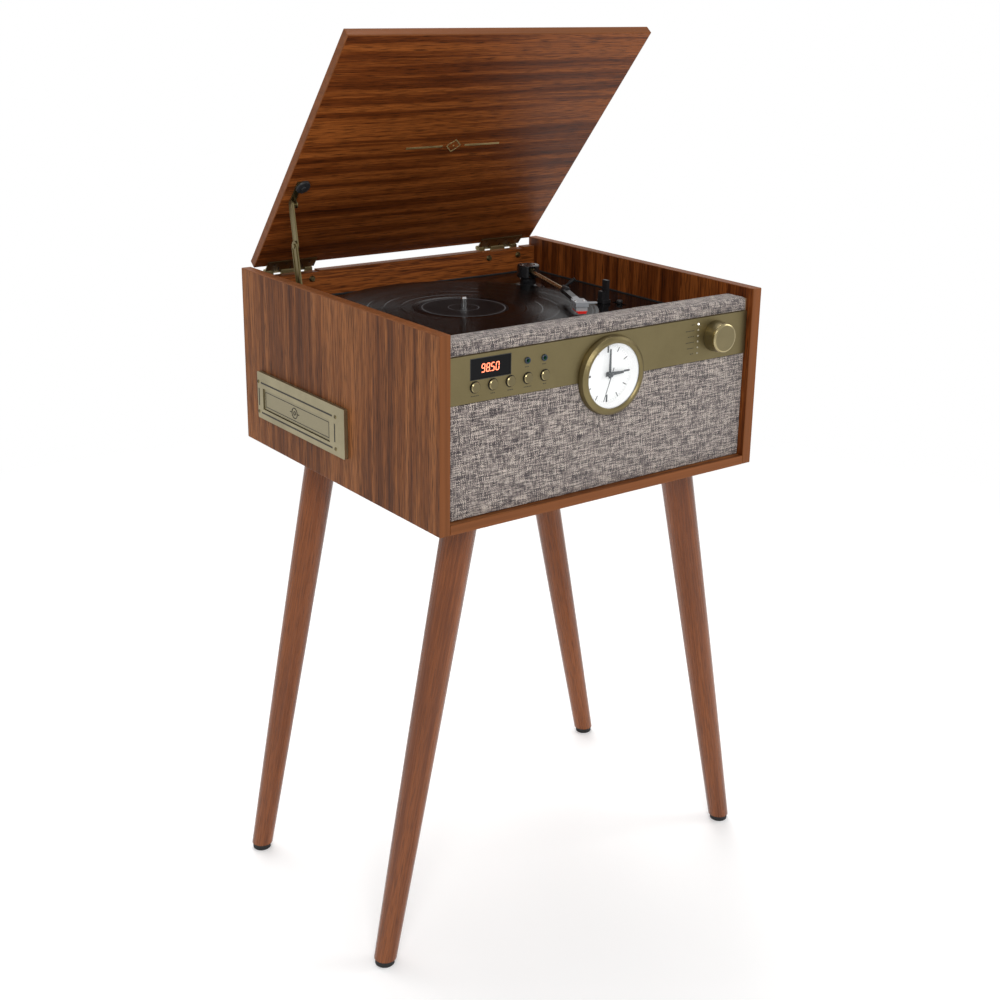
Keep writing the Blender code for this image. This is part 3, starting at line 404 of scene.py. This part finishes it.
def addRod(bm, start, end, radius, endRadius=None, segments=24):
    start, end = Vector(start), Vector(end)
    along = end - start
    frameAt = Matrix.Translation((start + end) / 2) @ along.to_track_quat("Z", "Y").to_matrix().to_4x4()
    return bmesh.ops.create_cone(bm, cap_ends=True, segments=segments, radius1=radius, depth=along.length,
                                 radius2=radius if endRadius is None else endRadius, matrix=frameAt)["verts"]


def addSpin(bm, outline, centre, axis, segments=40):
    # outline is (distance from the axis, height along the axis); a full turn closes it
    axis = Vector(axis).normalized()
    side = axis.orthogonal().normalized()
    centre = Vector(centre)
    row = [bm.verts.new(centre + side * r + axis * h) for r, h in outline]
    edges = [bm.edges.new((a, b)) for a, b in zip(row, row[1:])]
    if outline[0][0] > 0 or outline[-1][0] > 0:
        edges.append(bm.edges.new((row[-1], row[0])))
    bmesh.ops.spin(bm, geom=row + edges, cent=centre, axis=axis, angle=2 * pi, steps=segments, use_merge=True)
    bmesh.ops.remove_doubles(bm, verts=bm.verts, dist=0.0000005)


def addDome(bm, centre, axis, radius, height):
    # a screw or rivet head
    outline = [(0, height), (radius * 0.45, height * 0.92), (radius * 0.8, height * 0.6), (radius, 0),
               (radius, -0.0002), (0, -0.0002)]
    addSpin(bm, outline, centre, axis, 16)


# a dark cross standing for the painted shade in a screw head's slots
def slotShadeCross(bm, centre, axis, radius, height):
    axis = Vector(axis).normalized()
    side = axis.orthogonal().normalized()
    for way in (side, axis.cross(side)):
        turn = Matrix((way, axis.cross(way), axis)).transposed().to_4x4()
        verts = addBox(bm, (-radius, -radius * 0.16, -height * 0.3), (radius, radius * 0.16, height * 0.3))
        bmesh.ops.transform(bm, matrix=Matrix.Translation(centre) @ turn, verts=verts)


def cover(names, material):
    for name in names:
        nodes[name].data.materials.clear()
        nodes[name].data.materials.append(material)


makeCamera()
hinge = Vector(joints["lid_hinge"]["pos_m"])
lidAngle = radians(joints["lid_hinge"]["range_deg"][1])
openLid = Matrix.Translation(hinge) @ Matrix.Rotation(-lidAngle, 4, "X") @ Matrix.Translation(-hinge)
closeLid = Matrix.Rotation(lidAngle, 3, "X")
lidTurn = {"turn": (lidAngle, 0, 0), "move": tuple(hinge - closeLid @ hinge)}

antiqueBrass = metal("antiqueBrass", (0.205, 0.165, 0.080), rough=0.38, tarnish=0.5)
fasciaBrass = metal("fasciaBrass", (0.190, 0.155, 0.078), rough=0.44, grain=0.35, grainScale=2600,
                    tarnish=0.25)
goldBrass = metal("goldBrass", (0.78, 0.60, 0.34), rough=0.26, grain=0.08, stretch=(4, 0.4, 1), tarnish=0.2)
steel = metal("steel", (0.66, 0.66, 0.66), rough=0.25, grain=0.08)
satinBlack = plastic("satinBlack", (0.014, 0.014, 0.015), rough=0.36, grain=0.25)
glossBlack = plastic("glossBlack", (0.0045, 0.0045, 0.005), rough=0.10, grain=0.02, smudge=0.05,
                     specular=0.11)
# black for printed marks, and also for painted shade in the screw slots
inkAndShadeBlack = plastic("inkAndShadeBlack", (0.020, 0.017, 0.012), rough=0.6)
rubberBlack = plastic("rubberBlack", (0.012, 0.012, 0.012), rough=0.72, grain=0.5)
dialWhite = plastic("dialWhite", (0.94, 0.94, 0.93), rough=0.42, grain=0.06)
bareBoard = plastic("bareBoard", (0.21, 0.145, 0.085), rough=0.85, grain=0.9, grainScale=700)
circuitGreen = plastic("circuitGreen", (0.015, 0.085, 0.035), rough=0.45)


def finishCabinet():
    edge = {"top": (2, 0.6921, 1.0), "front": (1, -1.0, -0.1991), "rear": (1, 0.1991, 1.0)}
    cover(["side_panel_left"], veneer("leftVeneer", "Z", walnut, 2.3,
                                      bands=[edge["top"], edge["front"], edge["rear"]]))
    cover(["side_panel_right"], veneer("rightVeneer", "Z", redWalnut, 6.1,
                                       bands=[edge["top"], edge["front"], edge["rear"]]))
    cover(["bottom_panel"], veneer("bottomVeneer", "X", walnut, 8.8, bands=[edge["front"]]))
    cover(["back_panel"], veneer("backVeneer", "X", redWalnut, 4.4, wavy=0.9, bands=[(2, 0.6817, 1.0)]))
    lid = [(1, -1.0, -0.1443), (1, 0.1928, 1.0), (0, -1.0, -0.1953), (0, 0.1953, 1.0)]
    cover(["lid_panel"], veneer("lidVeneer", "X", redWalnut, 1.2, bands=lid, wavy=0.2, **lidTurn))
    cover(["baffle_board"], bareBoard)
    cover(["deck_board"], glossBlack)
    for end, seed in (("front", 3.0), ("back", 5.0)):
        for side, lean in (("left", -0.2056), ("right", 0.2056)):
            cover([f"leg_{end}_{side}"], veneer(f"legStain{end.title()}{side.title()}", "Z", legStain,
                                                seed + lean * 9, turn=(0, lean, 0), wavy=0.1))
            cover([f"glide_{end}_{side}"], rubberBlack)


def weave(bm, front):
    # the cloth's own coordinates in metres run over the folds without a break
    layer = bm.loops.layers.uv.new("UVMap")
    for face in bm.faces:
        face.normal_update()
        for loop in face.loops:
            x, y, z = loop.vert.co
            loop[layer].uv = (y, z) if abs(face.normal.x) > 0.8 else (x, z + y - front)


def finishCloth():
    cloth = {"fold": 0.0046, "thick": 0.0005}
    material = tweed("tweedCloth")
    low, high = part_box("rail_cloth")
    bm = bmesh.new()
    addBox(bm, low, high, cloth["fold"], 5)
    bmesh.ops.recalc_face_normals(bm, faces=bm.faces)
    under = [f for f in bm.faces if f.calc_center_median().z < low.z + cloth["fold"] * 1.01]
    bmesh.ops.delete(bm, geom=under, context="FACES")
    rim = [v for v in bm.verts if v.link_faces and v.is_boundary]
    bmesh.ops.translate(bm, verts=rim, vec=(0, 0, -cloth["fold"]))
    weave(bm, low.y)
    area = sum(f.calc_area() for f in bm.faces)
    rail = finishPiece("railTweed", bm, material, "cabinet", sharp=60)
    skin = rail.modifiers.new("thickness", "SOLIDIFY")
    skin.thickness = cloth["thick"]
    skin.offset = -1
    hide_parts("rail_cloth")

    low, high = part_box("grille_cloth")
    bm = bmesh.new()
    addBox(bm, low, high)
    front = [e for e in bm.edges if all(v.co.y < low.y + 0.0001 for v in e.verts)]
    bmesh.ops.bevel(bm, geom=front, offset=0.0012, segments=3, affect="EDGES", profile=0.5, material=-1)
    weave(bm, low.y)
    grille = finishPiece("grilleTweed", bm, material, "cabinet", sharp=60)
    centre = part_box("clock_dial")
    hole = bmesh.new()
    addRod(hole, ((centre[0].x + centre[1].x) / 2, low.y - 0.01, (centre[0].z + centre[1].z) / 2),
           ((centre[0].x + centre[1].x) / 2, high.y + 0.01, (centre[0].z + centre[1].z) / 2), 0.0362,
           segments=64)
    cutter = bpy.data.meshes.new("holeCutter")
    hole.to_mesh(cutter)
    hole.free()
    cutterObject = bpy.data.objects.new("holeCutter", cutter)
    bpy.context.collection.objects.link(cutterObject)
    trim = grille.modifiers.new("hole", "BOOLEAN")
    trim.operation, trim.solver, trim.object = "DIFFERENCE", "EXACT", cutterObject
    bpy.context.view_layer.update()
    made = bpy.data.meshes.new_from_object(grille.evaluated_get(bpy.context.evaluated_depsgraph_get()))
    grille.modifiers.clear()
    grille.data = made
    bpy.data.objects.remove(cutterObject)
    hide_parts("grille_cloth")


def digit(bm, which, low, width, height, y):
    # seven bars, each on or off
    bars = {"a": ((0, 1), (1, 1)), "b": ((1, 0.5), (1, 1)), "c": ((1, 0), (1, 0.5)), "d": ((0, 0), (1, 0)),
            "e": ((0, 0), (0, 0.5)), "f": ((0, 0.5), (0, 1)), "g": ((0, 0.5), (1, 0.5))}
    lit = {"0": "abcdef", "1": "bc", "5": "acdfg", "8": "abcdefg", "9": "abcdfg", "6": "acdefg"}[which]
    for key in lit:
        (x0, z0), (x1, z1) = bars[key]
        a = Vector((low[0] + x0 * width + z0 * height * 0.10, y, low[1] + z0 * height))
        b = Vector((low[0] + x1 * width + z1 * height * 0.10, y, low[1] + z1 * height))
        along = (b - a).normalized()
        addRod(bm, a + along * 0.00035, b - along * 0.00035, 0.00042, segments=6)


def controlStrip():
    strip = {"readout": "9850", "digitWidth": 0.0034, "digitHeight": 0.0078, "digitStep": 0.0056,
             "markHigh": 0.0008, "lamp": 0.00115, "lampX": 0.1255, "lampTop": 0.6617, "lampStep": 0.0063,
             "jacks": (-0.1025, -0.0816), "jackHigh": 0.6538}
    cover(["control_fascia"], fasciaBrass)
    cover(["display_window"], glossBlack)
    cover(["control_board"], circuitGreen)
    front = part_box("control_fascia")[0].y
    low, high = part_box("display_window")
    bm = bmesh.new()
    start = low.x + 0.27 * (high.x - low.x)
    base = (low.z + high.z) / 2 - strip["digitHeight"] / 2
    for index, which in enumerate(strip["readout"]):
        digit(bm, which, (start + index * strip["digitStep"], base), strip["digitWidth"],
              strip["digitHeight"], low.y - 0.0001)
    addBox(bm, (start + strip["digitStep"] * 2 - 0.0014, low.y - 0.0003, base - 0.0003),
           (start + strip["digitStep"] * 2 - 0.0006, low.y + 0.0001, base + 0.0005))
    finishPiece("readoutDigits", bm, glow("readoutGlow", (1.0, 0.20, 0.10), 4.0), "cabinet")
    bm = bmesh.new()
    addBox(bm, (low.x - 0.0009, front - 0.0002, low.z - 0.0009),
           (high.x + 0.0009, front + 0.0002, low.z - 0.0002))
    addBox(bm, (low.x - 0.0009, front - 0.0002, high.z + 0.0002),
           (high.x + 0.0009, front + 0.0002, high.z + 0.0009))
    addBox(bm, (low.x - 0.0009, front - 0.0002, low.z - 0.0003),
           (low.x - 0.0002, front + 0.0002, high.z + 0.0003))
    addBox(bm, (high.x + 0.0002, front - 0.0002, low.z - 0.0003),
           (high.x + 0.0009, front + 0.0002, high.z + 0.0003))
    finishPiece("displayBorder", bm, satinBlack, "cabinet")

    marks = bmesh.new()

    def mark(x, z, width):
        # a row of small dashes where a caption would be
        count = max(2, round(width / 0.0021))
        step = width / count
        for index in range(count):
            left = x - width / 2 + index * step
            addBox(marks, (left, front - 0.00008, z - strip["markHigh"] / 2),
                   (left + step * 0.68, front + 0.0001, z + strip["markHigh"] / 2))

    ring = bmesh.new()
    for index in range(5):
        low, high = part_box(f"button_{index + 1}")
        cover([f"button_{index + 1}"], turnedMetal(f"buttonBrass{index + 1}", (low + high) / 2,
                                                  (0.200, 0.165, 0.088), 0.0044, 0.0052))
        x, z = (low.x + high.x) / 2, (low.z + high.z) / 2
        mark(x, z - 0.0086, (0.0098, 0.0056, 0.0072, 0.0100, 0.0044)[index])
        addSpin(ring, [(0.0056, 0.0), (0.0061, 0.0), (0.0061, 0.00015), (0.0056, 0.00015)], (x, front, z),
                (0, -1, 0), 32)
    finishPiece("buttonRims", ring, inkAndShadeBlack, "cabinet")
    jack = bmesh.new()
    for x in strip["jacks"]:
        addSpin(jack, [(0.0019, -0.0002), (0.0033, -0.0002), (0.0033, 0.0008), (0.0030, 0.0011),
                       (0.0021, 0.0011),
                       (0.0019, 0.0008)], (x, front - 0.0003, strip["jackHigh"]), (0, -1, 0), 28)
        mark(x, strip["jackHigh"] - 0.0062, 0.0052)
    finishPiece("jackCollars", jack, plastic("jackBlue", (0.020, 0.028, 0.045), rough=0.3), "cabinet")
    on, off = bmesh.new(), bmesh.new()
    for index, width in enumerate((0.0046, 0.0128, 0.0094, 0.0120, 0.0098, 0.0050)):
        z = strip["lampTop"] - index * strip["lampStep"]
        addDome(on if index == 0 else off, (strip["lampX"], front, z), (0, -1, 0), strip["lamp"], 0.0007)
        mark(strip["lampX"] - 0.0052 - width / 2, z, width)
    finishPiece("modeLampLit", on, glow("lampGlow", (1.0, 0.98, 0.92), 3.0), "cabinet")
    finishPiece("modeLamps", off, plastic("lampLens", (0.30, 0.27, 0.19), rough=0.15), "cabinet")
    finishPiece("captionMarks", marks, inkAndShadeBlack, "cabinet")
    low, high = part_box("selector_knob")
    cover(["selector_knob"], turnedMetal("knobBrass", ((low.x + high.x) / 2, low.y, (low.z + high.z) / 2),
                                         (0.255, 0.212, 0.115), 0.0139, 0.0161))


def finishClock():
    dial = {"tick": 0.0052, "bold": 0.0078, "reach": 0.0300}
    cover(["clock_bezel"], antiqueBrass)
    cover(["clock_dial"], dialWhite)
    cover(["clock_glass"], clearGlass("clockGlass"))
    cover(["hour_hand", "minute_hand", "second_hand"], plastic("handBlack", (0.018, 0.019, 0.020), rough=0.3))
    cover(["clock_movement"], satinBlack)
    low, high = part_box("clock_dial")
    centre = (low + high) / 2
    bm = bmesh.new()
    for hour in range(12):
        bold = hour % 3 == 0
        long, wide = (dial["bold"], 0.0010) if bold else (dial["tick"], 0.00045)
        verts = addBox(bm, (-wide, low.y - 0.00022, dial["reach"] - long),
                       (wide, low.y + 0.0001, dial["reach"]))
        bmesh.ops.transform(bm, matrix=Matrix.Translation((centre.x, 0, centre.z)) @
                            Matrix.Rotation(hour * pi / 6, 4, "Y"), verts=verts)
    finishPiece("dialMarks", bm, plastic("dialInk", (0.03, 0.03, 0.032), rough=0.4), "cabinet")
    bm = bmesh.new()
    for minute in range(60):
        if minute % 5:
            verts = addBox(bm, (-0.00012, low.y - 0.0002, 0.0284), (0.00012, low.y + 0.0001, 0.0300))
            bmesh.ops.transform(bm, matrix=Matrix.Translation((centre.x, 0, centre.z)) @
                                Matrix.Rotation(minute * pi / 30, 4, "Y"), verts=verts)
    finishPiece("minuteMarks", bm, plastic("minuteInk", (0.40, 0.40, 0.41), rough=0.4), "cabinet")
    bm = bmesh.new()
    addSpin(bm, [(0.0344, 0.1887), (0.0312, 0.1887), (0.0334, 0.1977), (0.0344, 0.1977)],
            (centre.x, 0, centre.z), (0, -1, 0), 72)
    finishPiece("dialWall", bm, dialWhite, "cabinet")
    bm = bmesh.new()
    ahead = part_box("second_hand")[0].y
    addDome(bm, (centre.x, ahead, centre.z), (0, -1, 0), 0.0023, 0.0009)
    finishPiece("handCap", bm, satinBlack, "second")


def finishTurntable():
    low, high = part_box("record")
    centre = (low + high) / 2
    cover(["record"], vinyl("recordVinyl", centre))
    cover(["platter"], zoned("platterFinish", ((centre.x, centre.y, 0), (1, 1, 0)), 0.0042,
                             (0.62, 0.62, 0.62), (0.012, 0.012, 0.013), 0.22, 0.5, 1.0, 0.0))
    head = {"collar": (0.0885, -0.0100, 0.6715), "stylus": (0.0535, -0.0840), "screws": 0.0046, "top": 0.6741,
            "reach": 0.0740}
    cover(["motor"], steel)
    cover(["motor_pulley"], goldBrass)
    cover(["drive_belt"], rubberBlack)
    cover(["tonearm_base", "tonearm_yoke"], plastic("armBlack", (0.008, 0.008, 0.009), rough=0.2, coat=0.3))
    cover(["tonearm_tube"], goldBrass)
    cover(["arm_rest", "cue_lever", "speed_lever"], satinBlack)
    cover(["headshell"], zoned("headshellFinish", 1, -0.0535, (0.33, 0.34, 0.36), (0.012, 0.012, 0.013),
                               0.33, 0.3))
    cover(["cartridge"], zoned("cartridgeFinish", 2, 0.66475, (0.78, 0.018, 0.012), (0.36, 0.37, 0.38), 0.3,
                               0.4))

    bm = bmesh.new()
    pivot = Vector(joints["arm_lift"]["pos_m"])
    collar = Vector(head["collar"])
    ahead = (collar - pivot).normalized()
    addSpin(bm, [(0.0037, 0.0010), (0.0048, 0.0014), (0.0049, 0.0072), (0.0044, 0.0086), (0.0037, 0.0088)],
            collar, ahead, 28)
    finishPiece("armCollar", bm, satinBlack, "arm")
    bm = bmesh.new()
    flat = Vector((head["stylus"][0] - collar.x, head["stylus"][1] - collar.y, 0)).normalized()
    side = Vector((flat.y, -flat.x, 0))
    for way in (-head["screws"], head["screws"]):
        spot = collar + flat * head["reach"] + side * way
        addDome(bm, (spot.x, spot.y, head["top"]), (0, 0, 1), 0.0015, 0.0008)
    finishPiece("headshellScrews", bm, steel, "arm")
    bm = bmesh.new()
    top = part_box("tonearm_yoke")[1].z
    for way in (-1, 1):
        spot = pivot + Vector((ahead.y, -ahead.x, 0)) * 0.0082 * way
        addDome(bm, (spot.x, spot.y, top), (0, 0, 1), 0.0019, 0.0007)
    finishPiece("yokeScrews", bm, steel, "arm_yoke")
    bm = bmesh.new()
    addSpin(bm, [(0.0191, 0.6524), (0.0206, 0.6524), (0.0206, 0.6534), (0.0198, 0.6542), (0.0191, 0.6542)],
            (pivot.x, pivot.y, 0), (0, 0, 1), 48)
    finishPiece("armBaseRing", bm, satinBlack, "cabinet")
    bm = bmesh.new()
    low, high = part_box("speed_lever")
    mid = (low + high) / 2
    addSpin(bm, [(0, high.z + 0.0004), (0.0030, high.z + 0.0002), (0.0037, high.z - 0.0010),
                 (0.0035, high.z - 0.0032),
                 (0.0021, high.z - 0.0036), (0, high.z - 0.0036)], (mid.x, mid.y, 0), (0, 0, 1), 28)
    finishPiece("speedLeverCap", bm, satinBlack, "speed")
    bm = bmesh.new()
    low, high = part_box("deck_board")
    for a, b in (((low.x, low.y), (high.x, low.y)), ((high.x, low.y), (high.x, high.y)),
                 ((high.x, high.y), (low.x, high.y)), ((low.x, high.y), (low.x, low.y))):
        inset = 0.0011
        ends = [(min(max(x, low.x + inset), high.x - inset),
                 min(max(y, low.y + inset), high.y - inset)) for x, y in (a, b)]
        addRod(bm, (*ends[0], high.z + 0.0002), (*ends[1], high.z + 0.0002), 0.0011, segments=10)
    finishPiece("deckBead", bm, rubberBlack, "cabinet")
    bm = bmesh.new()
    for x, y in ((-0.182, -0.142), (0.182, -0.142), (-0.182, 0.172), (0.182, 0.172)):
        addDome(bm, (x, y, high.z), (0, 0, 1), 0.0036, 0.0012)
    finishPiece("deckScrews", bm, satinBlack, "cabinet")


def slottedHeads(name, spots, axis, radius, height, body, turn=None):
    # screw heads, and dark crosses on them as painted shade in their cross slots
    heads, slotShade = bmesh.new(), bmesh.new()
    for spot in spots:
        addDome(heads, spot, axis, radius, height)
        slotShadeCross(slotShade, Vector(spot) + Vector(axis) * height * 0.86, axis, radius * 0.55,
                   min(0.0006, height))
    for bm in (heads, slotShade):
        if turn is not None:
            bmesh.ops.transform(bm, matrix=turn, verts=bm.verts)
    finishPiece(name, heads, antiqueBrass, body)
    finishPiece(name + "Slots", slotShade, inkAndShadeBlack, body)


def lidHardware():
    ribs = {"stay_upper_arm": 0.00025, "stay_lower_arm": 0.0009}
    kneeAt = (0.1127, 0.7282)  # where the arms meet, lid open
    cover([f"hinge_{leaf}_leaf_{side}" for leaf in ("lid", "back") for side in ("left", "right")],
          antiqueBrass)
    cover(["stay_upper_arm", "stay_lower_arm", "stay_base_bracket", "stay_lid_bracket"], antiqueBrass)
    for side, x in (("Left", -0.149), ("Right", 0.149)):
        spots = [(x + offset, 0.1908, 0.6815) for offset in (-0.0225, -0.0075, 0.0075, 0.0225)]
        slottedHeads("leafScrews" + side, spots, (0, 0, -1), 0.0026, 0.00025, "lid",
                     openLid)
        bm = bmesh.new()
        for offset in (-0.0305, -0.0155, 0, 0.0155, 0.0305):
            addBox(bm, (x + offset - 0.0006, 0.1952, 0.6813), (x + offset + 0.0006, 0.1998, 0.6818))
        bmesh.ops.transform(bm, matrix=openLid, verts=bm.verts)
        finishPiece("leafSlots" + side, bm, inkAndShadeBlack, "lid")
    top = Vector(joints["stay_upper_pivot"]["pos_m"])
    base = Vector(joints["stay_lower_pivot"]["pos_m"])
    knee = Vector((top.x, *kneeAt))
    for name, body, start, end, x, slot in (("upperRib", "stay_upper", top, knee, -0.1872, "stay_upper_arm"),
                                            ("lowerRib", "stay_lower", base, knee, -0.1892,
                                             "stay_lower_arm")):
        bm = bmesh.new()
        a, b = Vector((x, start.y, start.z)), Vector((x, end.y, end.z))
        along = (b - a).normalized()
        wide = Vector((0, -along.z, along.y))
        turn = Matrix((Vector((-1, 0, 0)), wide, along)).transposed().to_4x4()
        length = (b - a).length
        for shift in (-0.0040, 0.0040):
            verts = addBox(bm, (0, shift - 0.0006, 0.001), (ribs[slot], shift + 0.0006, length - 0.001),
                           0.0001, 1)
            bmesh.ops.transform(bm, matrix=Matrix.Translation(a) @ turn, verts=verts)
        addDome(bm, (x, start.y, start.z), (-1, 0, 0), 0.0031, ribs[slot] + 0.00005)
        finishPiece(name, bm, antiqueBrass, body)
    bm = bmesh.new()
    spot = Vector((-0.1765, 0.0640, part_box("lid_panel")[0].z))
    addSpin(bm, [(0, 0.0048), (0.0022, 0.0046), (0.0026, 0.0040), (0.0060, 0.0038), (0.0078, 0.0030),
                 (0.0086, 0.0010), (0.0086, 0.0002), (0, 0.0002)], (spot.x, spot.y, 0.6830), (0, 0, -1), 32)
    bmesh.ops.transform(bm, matrix=openLid, verts=bm.verts)
    finishPiece("stayRoundel", bm, satinBlack, "lid")


def lidInlay():
    inlay = {"left": -0.064, "right": 0.062, "y": 0.0157, "thick": 0.0024, "lozenge": 0.0130,
             "line": 0.0013, "proud": 0.00025}
    bm = bmesh.new()
    z, y, half = 0.6830, inlay["y"], inlay["thick"] / 2
    middle = (inlay["left"] + inlay["right"]) / 2
    for low, high in ((inlay["left"], middle - 0.015), (middle + 0.015, inlay["right"])):
        addBox(bm, (low, y - half, z - inlay["proud"]), (high, y + half, z + 0.0001))
    size, wide = inlay["lozenge"], inlay["line"]
    verts = []
    for turn in range(4):
        bar = addBox(bm, (-size * 0.5 - wide / 2, size * 0.5 - wide / 2, -inlay["proud"]),
                     (size * 0.5 + wide / 2, size * 0.5 + wide / 2, 0.0001))
        bmesh.ops.transform(bm, matrix=Matrix.Rotation(turn * pi / 2, 4, "Z"), verts=bar)
        verts += bar
    bmesh.ops.transform(bm, matrix=Matrix.Translation((middle, y, z)) @ Matrix.Rotation(pi / 4, 4, "Z"),
                        verts=verts)
    addRod(bm, (middle, y, z - inlay["proud"]), (middle, y, z + 0.0001), 0.0012, segments=20)
    bmesh.ops.transform(bm, matrix=openLid, verts=bm.verts)
    finishPiece("lidInlay", bm, metal("inlayBrass", (0.85, 0.66, 0.34), rough=0.5), "lid")


def discDrawer():
    plate = {"groove": 0.0009, "proud": 0.00015, "left": 0.1600, "right": -0.0115, "top": 0.5700,
             "bottom": 0.5350}
    plateBrass = metal("plateBrass", (0.34, 0.295, 0.185), rough=0.42, grain=0.3, tarnish=0.5)
    cover(["cd_frame"], plateBrass)
    cover(["cd_mechanism"], satinBlack)
    cover(["cd_tray"], zoned("trayFinish", 0, -0.2085, (0.31, 0.27, 0.172), (0.016, 0.016, 0.017), 0.42,
                             0.4, 1.0, 0.0))
    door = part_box("cd_tray")
    x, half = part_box("cd_frame")[0].x, plate["groove"]
    bm = bmesh.new()
    left, right, top, bottom = plate["left"], plate["right"], plate["top"], plate["bottom"]
    addBox(bm, (x - plate["proud"], right + 0.0065, top - half), (x + 0.0004, left - 0.0065, top + half))
    addBox(bm, (x - plate["proud"], right + 0.0065, bottom - half),
           (x + 0.0004, left - 0.0065, bottom + half))
    for y in (left - 0.0015, right + 0.0015):
        addBox(bm, (x - plate["proud"], y - half, bottom + 0.0075), (x + 0.0004, y + half, top - 0.0075))
    finishPiece("plateGrooves", bm, inkAndShadeBlack, "cabinet")
    spots = [(x, y, z) for y in (left, right) for z in (bottom, top)]
    slottedHeads("plateScrews", spots, (-1, 0, 0), 0.0024, 0.0008, "cabinet")
    bm = bmesh.new()
    face = door[0].x
    y0, y1, z0, z1 = door[0].y + 0.0035, door[1].y - 0.0035, door[0].z + 0.0030, door[1].z - 0.0030
    thin = 0.0004
    for a, b in (((y0, z0), (y1, z0)), ((y0, z1), (y1, z1)), ((y0, z0), (y0, z1)), ((y1, z0), (y1, z1))):
        addBox(bm, (face - 0.0001, a[0] - thin, a[1] - thin), (face + 0.0003, b[0] + thin, b[1] + thin))
    finishPiece("drawerLine", bm, inkAndShadeBlack, "tray")
    bm = bmesh.new()
    centre = (face, (door[0].y + door[1].y) / 2 + 0.004, (door[0].z + door[1].z) / 2)
    for outer, inner in ((0.0062, 0.0054), (0.0024, 0.0016)):
        addSpin(bm, [(inner, 0), (outer, 0), (outer, 0.0003), (inner, 0.0003)], centre, (-1, 0, 0), 32)
    for way in (-1, 1):
        addBox(bm, (face - 0.0003, centre[1] + way * 0.0085 - 0.0016, centre[2] - 0.0004),
               (face + 0.0001, centre[1] + way * 0.0085 + 0.0016, centre[2] + 0.0004))
    finishPiece("drawerGlyph", bm, inkAndShadeBlack, "tray")


def backAndInside():
    cover(["speaker_left", "speaker_right"],
          plastic("speakerBlack", (0.016, 0.016, 0.017), rough=0.62, grain=0.5))
    cover(["amplifier_module"], plastic("moduleBlack", (0.014, 0.014, 0.014), rough=0.5, grain=0.6))
    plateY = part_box("amplifier_module")[1].y - 0.0067
    low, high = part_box("amplifier_module")
    for x, name, colour in ((-0.036, "socketRed", (0.45, 0.02, 0.015)),
                            (-0.018, "socketWhite", (0.62, 0.62, 0.60))):
        bm = bmesh.new()
        addSpin(bm, [(0.0043, 0.0001), (0.0058, 0.0001), (0.0058, 0.0022), (0.0052, 0.0028),
                     (0.0043, 0.0028)],
                (x, plateY, 0.560), (0, 1, 0), 32)
        finishPiece(name, bm, plastic(name + "Plastic", colour, rough=0.3), "cabinet")
    bm = bmesh.new()
    addSpin(bm, [(0.0031, 0.0001), (0.0050, 0.0001), (0.0050, 0.0016), (0.0031, 0.0016)],
            (0.030, plateY, 0.560), (0, 1, 0), 32)
    for index in range(9):
        x = -0.040 + index * 0.010
        addBox(bm, (x - 0.0028, plateY, 0.5790), (x + 0.0028, plateY + 0.0002, 0.5806))
        addBox(bm, (x - 0.0028, plateY, 0.5360), (x + 0.0028, plateY + 0.0002, 0.5376))
    finishPiece("moduleSlots", bm, inkAndShadeBlack, "cabinet")
    spots = [(x, plateY, z) for x in (low.x + 0.006, high.x - 0.006) for z in (low.z + 0.006, high.z - 0.006)]
    slottedHeads("moduleScrews", spots, (0, 1, 0), 0.0028, 0.0009, "cabinet")


def makeStudio():
    bpy.context.scene.view_settings.view_transform = "Standard"
    world = bpy.data.worlds.new("studioWorld")
    bpy.context.scene.world = world
    world.use_nodes = True
    tree = world.node_tree
    tree.nodes.clear()
    seen = node(tree, "ShaderNodeLightPath").outputs["Is Camera Ray"]
    power = span(tree, seen, 0, 1, studio["roomLight"], studio["backdrop"])
    sky = node(tree, "ShaderNodeBackground", {"Color": (1, 1, 1, 1), "Strength": power})
    out = node(tree, "ShaderNodeOutputWorld")
    tree.links.new(sky.outputs[0], out.inputs[0])
    for name, (place, width, watts) in studio["lamps"].items():
        data = bpy.data.lights.new(name, "AREA")
        data.shape = "SQUARE"
        data.size, data.energy = width, watts
        lamp = bpy.data.objects.new(name, data)
        lamp.location = place
        lamp.rotation_euler = (Vector((0, 0, 0.55)) - Vector(place)).to_track_quat("-Z", "Y").to_euler()
        bpy.context.collection.objects.link(lamp)
    bm = bmesh.new()
    bmesh.ops.create_circle(bm, cap_ends=True, radius=9.0, segments=64)
    mesh = bpy.data.meshes.new("studioFloor")
    bm.to_mesh(mesh)
    bm.free()
    floor = bpy.data.objects.new("studioFloor", mesh)
    bpy.context.collection.objects.link(floor)
    made, tree, shader = newMaterial("paleFloor")
    far = node(tree, "ShaderNodeVectorMath", {0: point(tree)}, operation="LENGTH").outputs["Value"]
    fade = span(tree, far, 0.75, 1.7)
    shade(tree, shader, colour=studio["floorColour"], rough=0.8, specular=0.1)
    shade(tree, shader, glow=(1, 1, 1), glowPower=studio["floorGlow"])
    bright = node(tree, "ShaderNodeEmission", {"Color": (1, 1, 1, 1), "Strength": 1.0})
    blend = node(tree, "ShaderNodeMixShader", {0: fade})
    tree.links.new(shader.outputs[0], blend.inputs[1])
    tree.links.new(bright.outputs[0], blend.inputs[2])
    tree.links.new(blend.outputs[0], tree.nodes["Material Output"].inputs[0])
    mesh.materials.append(made)


for stage in (finishCabinet, finishCloth, controlStrip, finishClock, finishTurntable, lidHardware, lidInlay,
              discDrawer, backAndInside, makeStudio):
    stage()
    print("done:", stage.__name__)
